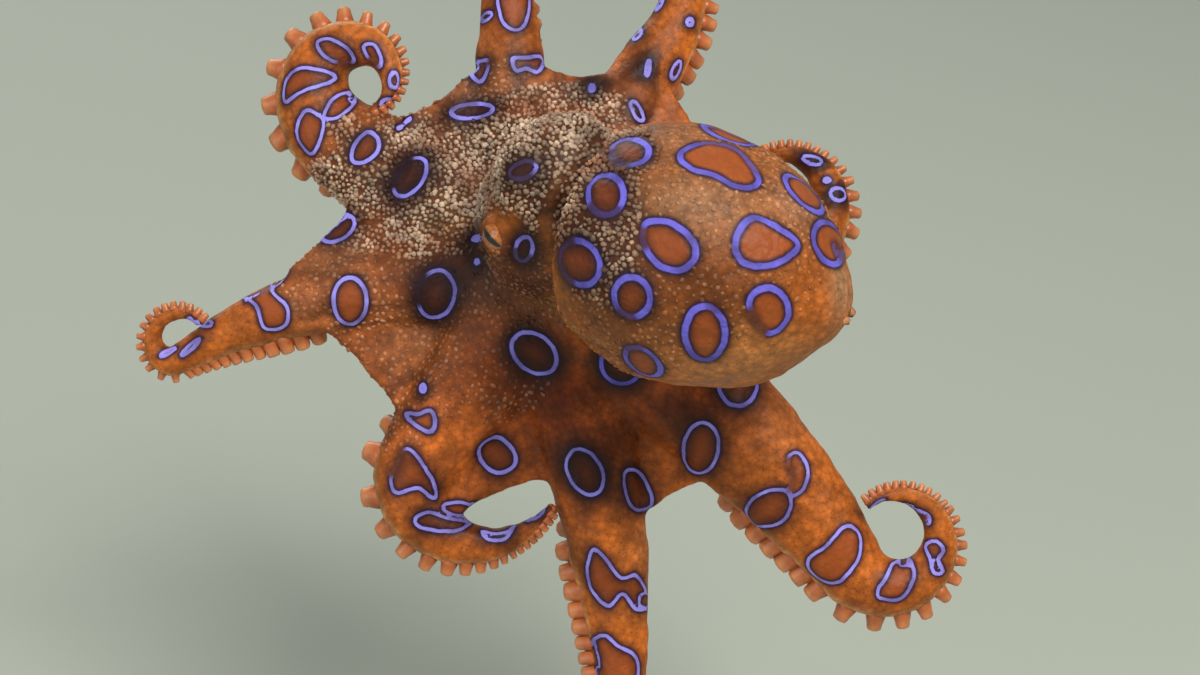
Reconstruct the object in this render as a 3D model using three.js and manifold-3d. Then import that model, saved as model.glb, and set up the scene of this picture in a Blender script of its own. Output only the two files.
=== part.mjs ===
// A life-size blue-ringed octopus, swimming with its arms spread and curled, on a display stand.
// Millimetres, +Z up. The origin is the middle of the base's underside.
// The animal is modelled in the frame of its arm crown: the crown lies in the x-z plane round
// the mouth, +y is the mouth side and -y the back, where the head and the mantle sit.
import * as THREE from 'three';
import { mergeVertices } from 'three/addons/utils/BufferGeometryUtils.js';
import Module from 'manifold-3d';

const wasm = await Module();
wasm.setup();

// Driving sizes
const GAP = 0.3; // between neighbouring pieces
const LEAN = 20; // degrees that the crown leans back from upright
const WEB_REACH = 27; // where the web ends, measured from the mouth
const CROWN_RADIUS = 12.5; // the flesh round the mouth
const CROWN_DEPTH = 5.2;
const WEB_RIM = 0.65; // half the web's thickness at its edge
const WEB_ROOT = 2.3; // half its thickness at the mouth
const WEB_FORWARD = 1; // how far the web lies towards the back, off the arms' middle
const TIP_RADIUS = 0.45;
const BASE_RADIUS = 38;
const BASE_HEIGHT = 6;
const ROD_RADIUS = 1.7;
const CROWN_HEIGHT = 80; // the mouth above the floor
const CROWN_OFFSET = [-8, 2]; // the mouth from the middle of the base
const ROD_FOOT = [1.5, 32]; // the rod's foot from the middle of the base

const radians = (degrees) => THREE.MathUtils.degToRad(degrees);
const vec = (x, y, z) => new THREE.Vector3(x, y, z);
const clamp01 = (x) => THREE.MathUtils.clamp(x, 0, 1);
const smooth = (x) => THREE.MathUtils.smoothstep(x, 0, 1);

// Arms in order round the crown. bearing: where the arm leaves the mouth. bend: how far it turns before
// its curl, which starts at share from of the length. dip: how far the web falls away behind the head.
// lift: depth of the tip off the curl's plane. turn: how far the suckers look outwards. web: how far out
// the web runs on the arm's two sides, the one to the arm before it first.
const ARMS = [
  { name: 'right_3', bearing: 36, bend: -52, from: 0.53, curl: 245, tighten: 1.03, length: 56,
    girth: 6.5, full: 2.2, dip: 8, lift: 2, turn: 60, web: [31, 31], cuts: [29, 43] },
  { name: 'right_2', bearing: 70, bend: -12, from: 0.59, curl: 91, tighten: 1.1, length: 60,
    girth: 6, full: 2.4, dip: 12, lift: -5, turn: 55, web: [33, 33], cuts: [28, 44] },
  { name: 'right_1', bearing: 106, bend: -17, from: 0.6, curl: 120, tighten: 1.24, length: 63,
    girth: 6.3, full: 2, dip: 13, lift: -4, turn: 20, web: [33, 33], cuts: [28, 45] },
  { name: 'left_1', bearing: 143, bend: 3, from: 0.51, curl: -305, tighten: 1.35, length: 62,
    girth: 7.2, full: 3.2, dip: 11, lift: -6, turn: 60, web: [33, 33], cuts: [29, 42] },
  { name: 'left_2', bearing: 172, bend: 39, from: 0.78, curl: -262, tighten: 0.7, length: 62.5,
    girth: 6.4, full: 1.8, dip: 5, lift: -4.5, turn: 60, web: [40, 32], cuts: [29, 48] },
  { name: 'left_3', bearing: 231.4, bend: 6, from: 0.52, curl: 180, tighten: 0.7, length: 54,
    girth: 7, full: 2.6, dip: 4, lift: -3, turn: 60, web: [27, 38], cuts: [26, 38] },
  { name: 'left_4', bearing: 288, bend: -15, from: 0.65, curl: 120, tighten: 1.2, length: 82,
    girth: 7.4, full: 1.6, dip: 5, lift: -4, turn: 60, web: [34, 36], cuts: [30, 54] },
  { name: 'right_4', bearing: 329.3, bend: -24, from: 0.64, curl: 278, tighten: 1.06, length: 82,
    girth: 8.6, full: 2.4, dip: 5, lift: -5.5, turn: 60, web: [38, 36], cuts: [31, 56] },
];
// The web's reach in the middle between each arm and the next
const WEB_GAPS = [27, 27, 27.5, 27.5, 24.8, 25.5, 31, 27];
// 1 where that middle is the nearest point of its edge; above 1, the nearest lies past it
const WEB_SKEWS = [1, 1, 1, 1, 1, 1.6, 1, 1];

// How far the crown falls away with the distance from the mouth
const fall = (distance) => {
  const t = distance / WEB_REACH;
  return (1.5 * t * t) / (0.5 + t * t);
};

const ARM_STEPS = 400; // for adding up an arm's course
for (const arm of ARMS) {
  arm.side = Math.sign(arm.curl); // the suckers look to the outside of the curl
  arm.course = [];
  let x = 0;
  let z = 0;
  const step = arm.length / ARM_STEPS;
  for (let i = 0; i <= ARM_STEPS; i++) {
    const share = i / ARM_STEPS;
    const curled = clamp01((share - arm.from) / (1 - arm.from));
    const turned = arm.bend * Math.min(share / arm.from, 1) + arm.curl * Math.pow(curled, arm.tighten);
    const heading = radians(arm.bearing + turned);
    const depth = arm.dip * fall(share * arm.length) + arm.lift * curled * curled;
    arm.course.push({ point: vec(x, depth, z), heading });
    x += Math.cos(heading) * step;
    z += Math.sin(heading) * step;
  }
}

// The middle of an arm at a distance along it, with its three directions: along, across and to the mouth side
function armFrame(arm, distance) {
  const at = THREE.MathUtils.clamp((distance / arm.length) * ARM_STEPS, 0.5, ARM_STEPS - 0.5);
  const lower = arm.course[Math.floor(at)];
  const upper = arm.course[Math.floor(at) + 1];
  const point = lower.point.clone().lerp(upper.point, at - Math.floor(at));
  const along = upper.point.clone().sub(lower.point).normalize();
  const across = vec(-Math.sin(lower.heading), 0, Math.cos(lower.heading));
  across.addScaledVector(along, -across.dot(along)).normalize();
  return { point, along, across, under: across.clone().cross(along) };
}

// Half the width and half the thickness of an arm
function armSize(arm, distance) {
  const share = clamp01(distance / arm.length);
  const wide = TIP_RADIUS + (arm.girth - TIP_RADIUS) * Math.pow(1 - Math.pow(share, arm.full), 1.5);
  return { wide, deep: Math.max(TIP_RADIUS, wide * THREE.MathUtils.lerp(0.6, 0.92, share)) };
}

// A closed mesh as a solid that can be joined and cut
function solid(geometry) {
  const bare = geometry.clone();
  bare.deleteAttribute('normal');
  bare.deleteAttribute('uv');
  const merged = mergeVertices(bare, 1e-4);
  return new wasm.Manifold(new wasm.Mesh({
    numProp: 3,
    vertProperties: new Float32Array(merged.attributes.position.array),
    triVerts: new Uint32Array(merged.index.array),
  }));
}

// Moves every vertex of a geometry by a function of its place
function reshape(geometry, place) {
  const position = geometry.attributes.position;
  const point = vec(0, 0, 0);
  for (let i = 0; i < position.count; i++) {
    const moved = place(point.fromBufferAttribute(position, i));
    position.setXYZ(i, moved.x, moved.y, moved.z);
  }
  return geometry;
}

// Joins solids into one
const join = (solids) => wasm.Manifold.union(solids);
// Takes solids out of another and keeps its largest closed piece
function cut(from, solids) {
  const rest = solids.length ? from.subtract(join(solids)) : from;
  return rest.decompose().sort((a, b) => b.volume() - a.volume())[0];
}

const ARM_START = 8; // inside the crown
const ARM_SIDES = 8;
const RING_SPACING = 2.8; // between an arm's rings of vertices
// A length of an arm between two distances from the mouth
function armTube(arm, start, end, grow = 0) {
  const steps = Math.max(2, Math.round((end - start) / RING_SPACING));
  return solid(reshape(new THREE.CylinderGeometry(1, 1, 1, ARM_SIDES, steps), (v) => {
    const distance = start + (v.y + 0.5) * (end - start);
    const frame = armFrame(arm, distance);
    const size = armSize(arm, distance);
    return frame.point
      .addScaledVector(frame.across, v.x * (size.wide + grow))
      .addScaledVector(frame.under, v.z * (size.deep + grow));
  }));
}

const SUCKERS_IN_ROW = 11;
const SUCKER_SIDES = 5;
const FIRST_SUCKER = 17; // from the mouth
const SUCKER_HEIGHT = 2;
const SUCKER_WIDTH = 0.27; // its radius, for half the arm's width of 1
const SUCKER_RADII = [0.45, 1.2]; // its least and greatest
const SUCKER_ROOT = 0.7; // how deep it is sunk, for half the arm's thickness of 1
const ROW_TURN = 22; // degrees of each row from the middle of the sucker side
// The suckers of a length of an arm, sunk into its flesh, in two rows that turn outwards past the web
function suckers(arm, start, end) {
  const made = [];
  for (let i = 0; i < SUCKERS_IN_ROW * 2; i++) {
    const share = 1 - Math.pow(1 - i / (SUCKERS_IN_ROW * 2), 1.2);
    const wanted = THREE.MathUtils.lerp(FIRST_SUCKER, arm.length, share);
    if (wanted < start || wanted > end) continue;
    const radius = THREE.MathUtils.clamp(armSize(arm, wanted).wide * SUCKER_WIDTH, ...SUCKER_RADII);
    const clear = radius * 1.2 + GAP;
    const distance = THREE.MathUtils.clamp(wanted, start + clear, end - clear);
    const { point, across, under } = armFrame(arm, distance);
    const { wide, deep } = armSize(arm, distance);
    const free = arm.web[arm.side > 0 ? 0 : 1];
    const outwards = arm.turn * THREE.MathUtils.smoothstep(distance, free - 10, free + 4);
    const turn = radians(outwards + (i % 2 ? ROW_TURN : -ROW_TURN));
    const out = across.clone().multiplyScalar(-arm.side);
    point.addScaledVector(under, deep * Math.cos(turn)).addScaledVector(out, wide * Math.sin(turn));
    const facing = under.clone().multiplyScalar(Math.cos(turn) / deep)
      .addScaledVector(out, Math.sin(turn) / wide).normalize();
    const height = SUCKER_HEIGHT * Math.min(1, 0.35 + radius * 0.7);
    const profile = [
      [0, -SUCKER_ROOT * deep], [radius * 0.8, -SUCKER_ROOT * deep], [radius, height],
      [0, height - radius * 0.4],
    ].map(([r, y]) => new THREE.Vector2(r, y));
    const cup = new THREE.LatheGeometry(profile, SUCKER_SIDES);
    cup.applyQuaternion(new THREE.Quaternion().setFromUnitVectors(vec(0, 1, 0), facing));
    made.push(solid(cup.translate(point.x, point.y, point.z)));
  }
  return made;
}

// The bearing of an arm's middle at a distance from the mouth, or where it starts to come back
function bearingAt(arm, distance) {
  const reach = ({ point }) => Math.hypot(point.x, point.z);
  const { point } = arm.course.find((place, i) =>
    reach(place) >= distance || reach(arm.course[i + 1]) < reach(place));
  return THREE.MathUtils.radToDeg(Math.atan2(point.z, point.x));
}

const WEB_START = 8;
const WEB_ACROSS = 10;
const WEB_OUT = 7;
// The web between an arm and the next, from the middle of one to the middle of the other
function webPanel(arm, after, gap, skew) {
  const box = new THREE.BoxGeometry(1, 1, 1, WEB_ACROSS, 1, WEB_OUT);
  return solid(reshape(box, (v) => {
    const share = 0.5 - v.x;
    const out = v.z + 0.5;
    const sag = (arm.web[1] + after.web[0]) / 2 - gap;
    const edge = THREE.MathUtils.lerp(arm.web[1], after.web[0], share)
      - sag * Math.pow(Math.sin(Math.PI * Math.pow(clamp01(share), skew)), 0.6);
    const distance = THREE.MathUtils.lerp(WEB_START, edge, out);
    const first = bearingAt(arm, distance);
    const span = THREE.MathUtils.euclideanModulo(bearingAt(after, distance) - first, 360);
    const turn = radians(first + span * share);
    const dip = THREE.MathUtils.lerp(arm.dip, after.dip, smooth(share));
    const half = THREE.MathUtils.lerp(WEB_ROOT, WEB_RIM, Math.sqrt(out));
    const depth = dip * fall(distance) - WEB_FORWARD + 2 * v.y * half;
    return vec(Math.cos(turn) * distance, depth, Math.sin(turn) * distance);
  }));
}

// A wedge of the crown between two bearings, with half a gap left free on both sides
const WEDGE_REACH = 60;
const WEDGE_DEPTH = 80;
function wedge(from, to) {
  const half = radians(THREE.MathUtils.euclideanModulo(to - from, 360)) / 2;
  const middle = radians(from) + half;
  const tip = GAP / 2 / Math.sin(half);
  const shape = new THREE.Shape();
  shape.moveTo(Math.cos(middle) * tip, Math.sin(middle) * tip);
  for (const turn of [-half, 0, half]) {
    shape.lineTo(
      Math.cos(middle) * tip + Math.cos(middle + turn) * WEDGE_REACH,
      Math.sin(middle) * tip + Math.sin(middle + turn) * WEDGE_REACH,
    );
  }
  const slab = new THREE.ExtrudeGeometry(shape, { depth: WEDGE_DEPTH, bevelEnabled: false });
  slab.translate(0, 0, -WEDGE_DEPTH / 2);
  slab.rotateX(Math.PI / 2);
  return solid(slab);
}

// An ellipsoid with its own axes
function ellipsoid(centre, axes, radii, grow = 0, sides = 20) {
  return solid(reshape(new THREE.SphereGeometry(1, sides, Math.round(sides * 0.6)), (v) =>
    centre.clone()
      .addScaledVector(axes[0], v.x * (radii[0] + grow))
      .addScaledVector(axes[1], v.y * (radii[1] + grow))
      .addScaledVector(axes[2], v.z * (radii[2] + grow))));
}
const PLAIN_AXES = [vec(1, 0, 0), vec(0, 1, 0), vec(0, 0, 1)];

// The flesh round the mouth, with its lip and the opening over the beak
const crownLump = (grow) =>
  ellipsoid(vec(0, 0.6, 0), PLAIN_AXES, [CROWN_RADIUS, CROWN_DEPTH, CROWN_RADIUS], grow, 24);
const MOUTH_RADIUS = 1.3;
const LIP_RADIUS = 2.1;
const LIP_HALF = 0.7;
function crown() {
  const face = 0.6 + CROWN_DEPTH;
  const lip = solid(new THREE.TorusGeometry(LIP_RADIUS, LIP_HALF, 6, 16).rotateX(Math.PI / 2)
    .translate(0, face, 0));
  const mouth = solid(new THREE.SphereGeometry(MOUTH_RADIUS, 10, 8).translate(0, face, 0));
  return cut(join([crownLump(0), lip]), [mouth]);
}

// The head stands on the crown's back; its axis runs from the mouth to the mantle
const HEAD_CENTRE = vec(0.8, -9.5, 8);
const HEAD_AXIS = vec(0.156, -0.85, 0.5).normalize();
const LEFT = vec(-0.778, -0.417, -0.467);
LEFT.addScaledVector(HEAD_AXIS, -LEFT.dot(HEAD_AXIS)).normalize();
const DORSAL = LEFT.clone().cross(HEAD_AXIS).normalize();
const HEAD_RADII = [8.7, 12.5, 9]; // across, along and from back to belly
const HEAD_AXES = [LEFT, HEAD_AXIS, DORSAL];
const EYE_RADIUS = 2.3;
const EYE_OUT = 8; // from the head's axis
const EYE_ALONG = 3; // from the head's middle towards the mantle
const EYE_FORWARD = 0.5; // how much the eyes look along the head, for 1 to the side
const EYE_MOUND = 4.6;
const MOUND_BACK = 3.1; // the mound's middle behind the eye's
const eyeLook = (side) => LEFT.clone().multiplyScalar(side)
  .addScaledVector(HEAD_AXIS, EYE_FORWARD).normalize();
const eyeCentre = (side) => HEAD_CENTRE.clone()
  .addScaledVector(LEFT, side * EYE_OUT)
  .addScaledVector(HEAD_AXIS, EYE_ALONG);
function headLump(grow) {
  const mounds = [1, -1].map((side) => ellipsoid(
    eyeCentre(side).addScaledVector(eyeLook(side), -MOUND_BACK),
    PLAIN_AXES, [EYE_MOUND, EYE_MOUND, EYE_MOUND], grow, 14));
  return join([ellipsoid(HEAD_CENTRE, HEAD_AXES, HEAD_RADII, grow), ...mounds]);
}
const eye = (side, grow) => ellipsoid(eyeCentre(side), PLAIN_AXES,
  [EYE_RADIUS, EYE_RADIUS, EYE_RADIUS], grow, 14);

// The mantle: an egg from the neck to a small point
const MANTLE_CENTRE = vec(18.4, -24, 2.6);
const MANTLE_AXIS = vec(0.846, -0.423, -0.325).normalize();
const MANTLE_LENGTH = 35;
const MANTLE_RADIUS = 15.9;
const MANTLE_DEPTH = 15.2;
const MANTLE_UP = DORSAL.clone().addScaledVector(MANTLE_AXIS, -DORSAL.dot(MANTLE_AXIS)).normalize();
const MANTLE_SIDE = MANTLE_UP.clone().cross(MANTLE_AXIS);
const MANTLE_POINT = 1.6; // how far the point stands out
function mantleLump(grow) {
  return solid(reshape(new THREE.SphereGeometry(1, 26, 16), (v) => {
    const round = Math.hypot(v.x, v.z);
    const fuller = round > 1e-6 ? Math.pow(round, 0.82) / round : 0; // blunter than an ellipsoid
    const egg = fuller * (1 - 0.1 * v.y);
    const point = MANTLE_POINT * Math.pow(clamp01((v.y - 0.9) / 0.1), 2);
    return MANTLE_CENTRE.clone()
      .addScaledVector(MANTLE_AXIS, v.y * (MANTLE_LENGTH / 2 + grow) + point)
      .addScaledVector(MANTLE_UP, v.z * egg * (MANTLE_DEPTH + grow))
      .addScaledVector(MANTLE_SIDE, -v.x * egg * (MANTLE_RADIUS + grow));
  }));
}

// The groove of the mantle's opening, all round the neck but its back
const APERTURE_RADII = [10.4, 12, 10.2];
const APERTURE_DOWN = 2; // from the head's middle towards the belly
const APERTURE_ALONG = 4;
const aperture = () => ellipsoid(
  HEAD_CENTRE.clone().addScaledVector(DORSAL, -APERTURE_DOWN).addScaledVector(HEAD_AXIS, APERTURE_ALONG),
  HEAD_AXES, APERTURE_RADII);

// The funnel, a short pipe under the neck that looks forward between the arms
const FUNNEL_LENGTH = 9;
const FUNNEL_RADIUS = 2.3;
const FUNNEL_BORE = 1.1;
const FUNNEL_DOWN = 8.6; // its root from the head's middle towards the belly
const FUNNEL_ALONG = 3.4;
function funnel() {
  const profile = [
    [0, 0], [FUNNEL_RADIUS * 1.5, 0], [FUNNEL_RADIUS, FUNNEL_LENGTH * 0.6],
    [FUNNEL_RADIUS * 0.8, FUNNEL_LENGTH],
    [FUNNEL_BORE, FUNNEL_LENGTH], [FUNNEL_BORE * 0.9, FUNNEL_LENGTH * 0.55], [0, FUNNEL_LENGTH * 0.5],
  ].map(([r, y]) => new THREE.Vector2(r, y));
  const pipe = new THREE.LatheGeometry(profile, 14);
  const out = HEAD_AXIS.clone().negate()
    .addScaledVector(DORSAL, -0.55).addScaledVector(LEFT, 0.15).normalize();
  pipe.applyQuaternion(new THREE.Quaternion().setFromUnitVectors(vec(0, 1, 0), out));
  const root = HEAD_CENTRE.clone()
    .addScaledVector(DORSAL, -FUNNEL_DOWN).addScaledVector(HEAD_AXIS, FUNNEL_ALONG);
  pipe.translate(root.x, root.y, root.z);
  return solid(pipe);
}

// The stand: a round foot and a leaning rod that ends against the mouth side of the crown
const crownPlace = new THREE.Matrix4().makeRotationX(-radians(LEAN))
  .setPosition(CROWN_OFFSET[0], CROWN_OFFSET[1], CROWN_HEIGHT);
const ROD_TOP = vec(2.5, 2.6, -3.2); // inside the flesh that the rod's end is shaped to
function standRod() {
  const foot = vec(ROD_FOOT[0], ROD_FOOT[1], BASE_HEIGHT + GAP);
  const top = ROD_TOP.clone().applyMatrix4(crownPlace);
  const reach = top.clone().sub(foot);
  const rod = new THREE.CylinderGeometry(ROD_RADIUS, ROD_RADIUS, reach.length() + 4, 16);
  rod.translate(0, reach.length() / 2 - 2, 0);
  rod.applyQuaternion(new THREE.Quaternion().setFromUnitVectors(vec(0, 1, 0), reach.clone().normalize()));
  rod.translate(foot.x, foot.y, foot.z);
  const below = solid(new THREE.BoxGeometry(40, 40, 20).translate(foot.x, foot.y, foot.z - 10));
  const nearest = ARMS.find((arm) => arm.name === 'left_4');
  const flesh = join([crownLump(GAP), armTube(nearest, ARM_START, nearest.cuts[0], GAP)]);
  return cut(solid(rod), [below, flesh.transform(crownPlace.elements)]);
}
function standBase() {
  const round = BASE_HEIGHT * 0.2;
  const profile = [
    [0, 0], [BASE_RADIUS - round, 0], [BASE_RADIUS, round], [BASE_RADIUS, BASE_HEIGHT - round],
    [BASE_RADIUS - round, BASE_HEIGHT], [0, BASE_HEIGHT],
  ].map(([r, y]) => new THREE.Vector2(r, y));
  return solid(new THREE.LatheGeometry(profile, 40).rotateX(Math.PI / 2));
}

// Materials
const skin = (color) => new THREE.MeshStandardMaterial({ color, roughness: 0.5, metalness: 0 });
const MATERIALS = {
  mantle: skin(0xa65a2c),
  head: skin(0x8f5a34),
  arm: skin(0xb8652e),
  web: skin(0xa3522a),
  crown: skin(0xc28a5c),
  funnel: skin(0xc98a4a),
  eye: new THREE.MeshStandardMaterial({ color: 0xa8642a, roughness: 0.15, metalness: 0 }),
  rod: new THREE.MeshStandardMaterial({ color: 0x9a9c9e, roughness: 0.35, metalness: 1 }),
  base: new THREE.MeshStandardMaterial({ color: 0xd8d4ca, roughness: 0.6, metalness: 0 }),
};

// A finished solid as a named mesh
function node(name, made, material) {
  const mesh = made.getMesh();
  const geometry = new THREE.BufferGeometry();
  geometry.setAttribute('position', new THREE.BufferAttribute(new Float32Array(mesh.vertProperties), 3));
  geometry.setIndex(new THREE.BufferAttribute(new Uint32Array(mesh.triVerts), 1));
  geometry.computeVertexNormals();
  const object = new THREE.Mesh(geometry, material);
  object.name = name;
  return object;
}

const octopus = new THREE.Group();
octopus.applyMatrix4(crownPlace);

const grownCrown = crownLump(GAP);
const grownHead = headLump(GAP);
const grownMantle = mantleLump(GAP);
octopus.add(node('crown', crown(), MATERIALS.crown));
octopus.add(node('head', cut(headLump(0), [grownCrown, eye(1, GAP), eye(-1, GAP)]), MATERIALS.head));
octopus.add(node('eye_left', eye(1, 0), MATERIALS.eye));
octopus.add(node('eye_right', eye(-1, 0), MATERIALS.eye));
octopus.add(node('mantle', cut(mantleLump(0), [grownHead, aperture(), eye(1, GAP), eye(-1, GAP)]),
  MATERIALS.mantle));
octopus.add(node('funnel', cut(funnel(), [grownHead, grownMantle, grownCrown]), MATERIALS.funnel));

const WEB_END = 44;
ARMS.forEach((arm, i) => {
  const before = ARMS[(i + ARMS.length - 1) % ARMS.length];
  const after = ARMS[(i + 1) % ARMS.length];
  const halfway = (a, b) => a + THREE.MathUtils.euclideanModulo(b - a, 360) / 2;
  const sector = wedge(halfway(before.bearing, arm.bearing), halfway(arm.bearing, after.bearing));
  const stops = [ARM_START, ...arm.cuts, arm.length];
  ['base', 'middle', 'tip'].forEach((part, j) => {
    const start = stops[j] + (j ? GAP / 2 : 0);
    const end = stops[j + 1] - (j < 2 ? GAP / 2 : 0);
    let length = cut(join([armTube(arm, start, end), ...suckers(arm, start, end)]), []);
    if (j === 0) length = cut(length.intersect(sector), [grownCrown, grownHead]);
    octopus.add(node(`arm_${arm.name}_${part}`, length, MATERIALS.arm));
  });
  const sides = [arm, after].map((a) => armTube(a, ARM_START, Math.min(WEB_END, a.length), GAP));
  const panel = cut(webPanel(arm, after, WEB_GAPS[i], WEB_SKEWS[i]), [...sides, grownCrown, grownHead]);
  octopus.add(node(`web_${arm.name}_${after.name}`, panel, MATERIALS.web));
});

const model = new THREE.Group();
model.add(octopus);
model.add(node('stand_base', standBase(), MATERIALS.base));
model.add(node('stand_rod', standRod(), MATERIALS.rod));

export default model;
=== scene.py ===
# %% [markdown]
# A blue-ringed octopus, life size, swimming with its arms spread. The real animal is one piece of
# soft flesh: there is no seam between arm, web, head and mantle. The frame holds it as rigid solids,
# so here one continuous skin is grown over all of them, and the suckers and eyes are set into it.

import math

import bmesh
import bpy
import numpy as np
from mathutils import Matrix, Vector, noise
from mathutils.bvhtree import BVHTree
from mathutils.kdtree import KDTree


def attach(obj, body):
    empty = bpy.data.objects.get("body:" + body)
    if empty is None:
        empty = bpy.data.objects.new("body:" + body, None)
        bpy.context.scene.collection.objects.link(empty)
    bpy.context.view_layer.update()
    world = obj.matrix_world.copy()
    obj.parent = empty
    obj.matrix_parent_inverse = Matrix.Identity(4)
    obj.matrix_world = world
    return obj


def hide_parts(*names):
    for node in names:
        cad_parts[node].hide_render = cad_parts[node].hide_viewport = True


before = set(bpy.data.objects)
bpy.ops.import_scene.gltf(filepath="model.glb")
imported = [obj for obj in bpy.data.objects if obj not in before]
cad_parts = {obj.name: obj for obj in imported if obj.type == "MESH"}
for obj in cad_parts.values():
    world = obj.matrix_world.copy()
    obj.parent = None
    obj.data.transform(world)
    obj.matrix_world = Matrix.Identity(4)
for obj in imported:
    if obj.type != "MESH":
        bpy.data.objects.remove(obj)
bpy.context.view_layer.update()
MM = 0.001
print("the frame has", len(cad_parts), "nodes")

# %% [markdown]
# The animal is modelled in the frame of its arm crown, in millimetres: x to the right, y through the
# crown from its back to its mouth side, z up. The crown leans back by 20 degrees on its stand, and
# the camera looks along its y axis, as the photograph does. The camera comes first, because the
# markings are later laid on the skin through it.

# %% The crown's place and the camera
LEAN = math.radians(20)
CROWN = Vector((-8, 2, 80))
VIEW_CENTRE = (6.875, -6.56)
VIEW_DISTANCE = 380
VIEW_WIDTH = 150
SENSOR = 36

crown_place = Matrix.Translation(CROWN * MM) @ Matrix.Rotation(-LEAN, 4, "X") @ Matrix.Scale(MM, 4)
eye_point = Vector((VIEW_CENTRE[0], -VIEW_DISTANCE, VIEW_CENTRE[1]))

camera = bpy.data.objects.new("camera", bpy.data.cameras.new("camera"))
camera.data.sensor_width = SENSOR
camera.data.lens = SENSOR * VIEW_DISTANCE / VIEW_WIDTH
camera.data.clip_start = 0.01
camera.location = crown_place @ eye_point
camera.rotation_euler = (math.radians(90) - LEAN, 0, 0)
bpy.context.scene.collection.objects.link(camera)
bpy.context.scene.camera = camera
print("the camera stands", round(camera.location.z, 3), "m above the floor")


# %% [markdown]
# An arm's course is a line that leaves the mouth on a bearing, bends a little, and winds into its
# curl. It is the same line that the solids follow, so the skin lies where they are.

# %% The arms' courses
WEB_REACH = 27
TIP_RADIUS = 0.6
ARM_STEPS = 240
ARM_FIELDS = ("name", "bearing", "bend", "start", "curl", "tighten", "length",
              "girth", "full", "dip", "lift", "turn", "web_before", "web_after")
ARM_VALUES = [
    ("right_3", 36, -52, 0.53, 245, 1.03, 56, 6.5, 2.2, 8, 2, 60, 31, 31),
    ("right_2", 70, -12, 0.59, 91, 1.1, 60, 6, 2.4, 12, -5, 55, 33, 33),
    ("right_1", 106, -17, 0.6, 120, 1.24, 63, 6.3, 2, 13, -4, 20, 33, 33),
    ("left_1", 143, 3, 0.51, -305, 1.35, 62, 7.2, 3.2, 11, -6, 60, 33, 33),
    ("left_2", 172, 39, 0.78, -262, 0.7, 62.5, 6.4, 1.8, 5, -4.5, 60, 40, 32),
    ("left_3", 231.4, 6, 0.52, 180, 0.7, 54, 7, 2.6, 4, -3, 60, 27, 38),
    ("left_4", 288, -15, 0.65, 120, 1.2, 82, 7.4, 1.6, 5, -4, 60, 34, 36),
    ("right_4", 329.3, -24, 0.64, 278, 1.06, 82, 8.6, 2.4, 5, -5.5, 60, 38, 36),
]
WEB_GAPS = [27, 27, 27.5, 27.5, 24.8, 25.5, 31, 27]
WEB_SKEWS = [1, 1, 1, 1, 1, 1.6, 1, 1]
arms = [dict(zip(ARM_FIELDS, values)) for values in ARM_VALUES]


def fall(distance):
    """How far the crown falls away behind the head, for a dip of 1."""
    t = distance / WEB_REACH
    return 1.5 * t * t / (0.5 + t * t)


for arm in arms:
    share = np.linspace(0, 1, ARM_STEPS + 1)
    curled = np.clip((share - arm["start"]) / (1 - arm["start"]), 0, 1)
    turned = arm["bend"] * np.minimum(share / arm["start"], 1) + arm["curl"] * curled ** arm["tighten"]
    heading = np.radians(arm["bearing"] + turned)
    step = arm["length"] / ARM_STEPS
    depth = arm["dip"] * fall(share * arm["length"]) + arm["lift"] * curled**2
    x = np.concatenate([[0], np.cumsum(np.cos(heading[:-1]))]) * step
    z = np.concatenate([[0], np.cumsum(np.sin(heading[:-1]))]) * step
    arm["course"] = np.stack([x, depth, z], 1)
    arm["heading"] = heading
    arm["side"] = math.copysign(1, arm["curl"])


def arm_frame(arm, distance):
    """The middle of an arm and its directions along, across and to the mouth side."""
    at = min(max(distance / arm["length"] * ARM_STEPS, 0.5), ARM_STEPS - 0.5)
    low = int(at)
    start, end = (Vector(arm["course"][low + i]) for i in (0, 1))
    along = (end - start).normalized()
    across = Vector((-math.sin(arm["heading"][low]), 0, math.cos(arm["heading"][low])))
    across = (across - along * across.dot(along)).normalized()
    return start.lerp(end, at - low), along, across, across.cross(along)


def arm_size(arm, distance):
    """Half the width and half the thickness of an arm."""
    share = min(max(distance / arm["length"], 0), 1)
    wide = TIP_RADIUS + (arm["girth"] - TIP_RADIUS) * (1 - share ** arm["full"]) ** 1.5
    return wide, max(TIP_RADIUS, wide * (0.6 + 0.32 * share))


print("arms of", sorted(round(arm["length"]) for arm in arms), "mm")


# %% [markdown]
# Each arm is a flattened ring of points that is pulled along its course, ring after ring, and closed
# at both ends: an extrusion that turns and narrows as it goes.

# %% An arm
ARM_SIDES = 20
RING_STEP = 0.9
ARM_START = 4


def axes_matrix(centre, axes, radii):
    """A place with its own three directions and its size along each."""
    columns = [axis * radius for axis, radius in zip(axes, radii)] + [centre]
    return Matrix([[column[i] for column in columns] for i in range(3)] + [[0, 0, 0, 1]])


def ring_place(arm, distance):
    point, along, across, under = arm_frame(arm, distance)
    return axes_matrix(point, (across, under, along), (*arm_size(arm, distance), 1))


def pull(bm, edges):
    """Extrudes a ring of edges on the spot, and gives the new ring's points and edges."""
    pulled = bmesh.ops.extrude_edge_only(bm, edges=edges)["geom"]
    return ([g for g in pulled if isinstance(g, bmesh.types.BMVert)],
            [g for g in pulled if isinstance(g, bmesh.types.BMEdge)])


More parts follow.
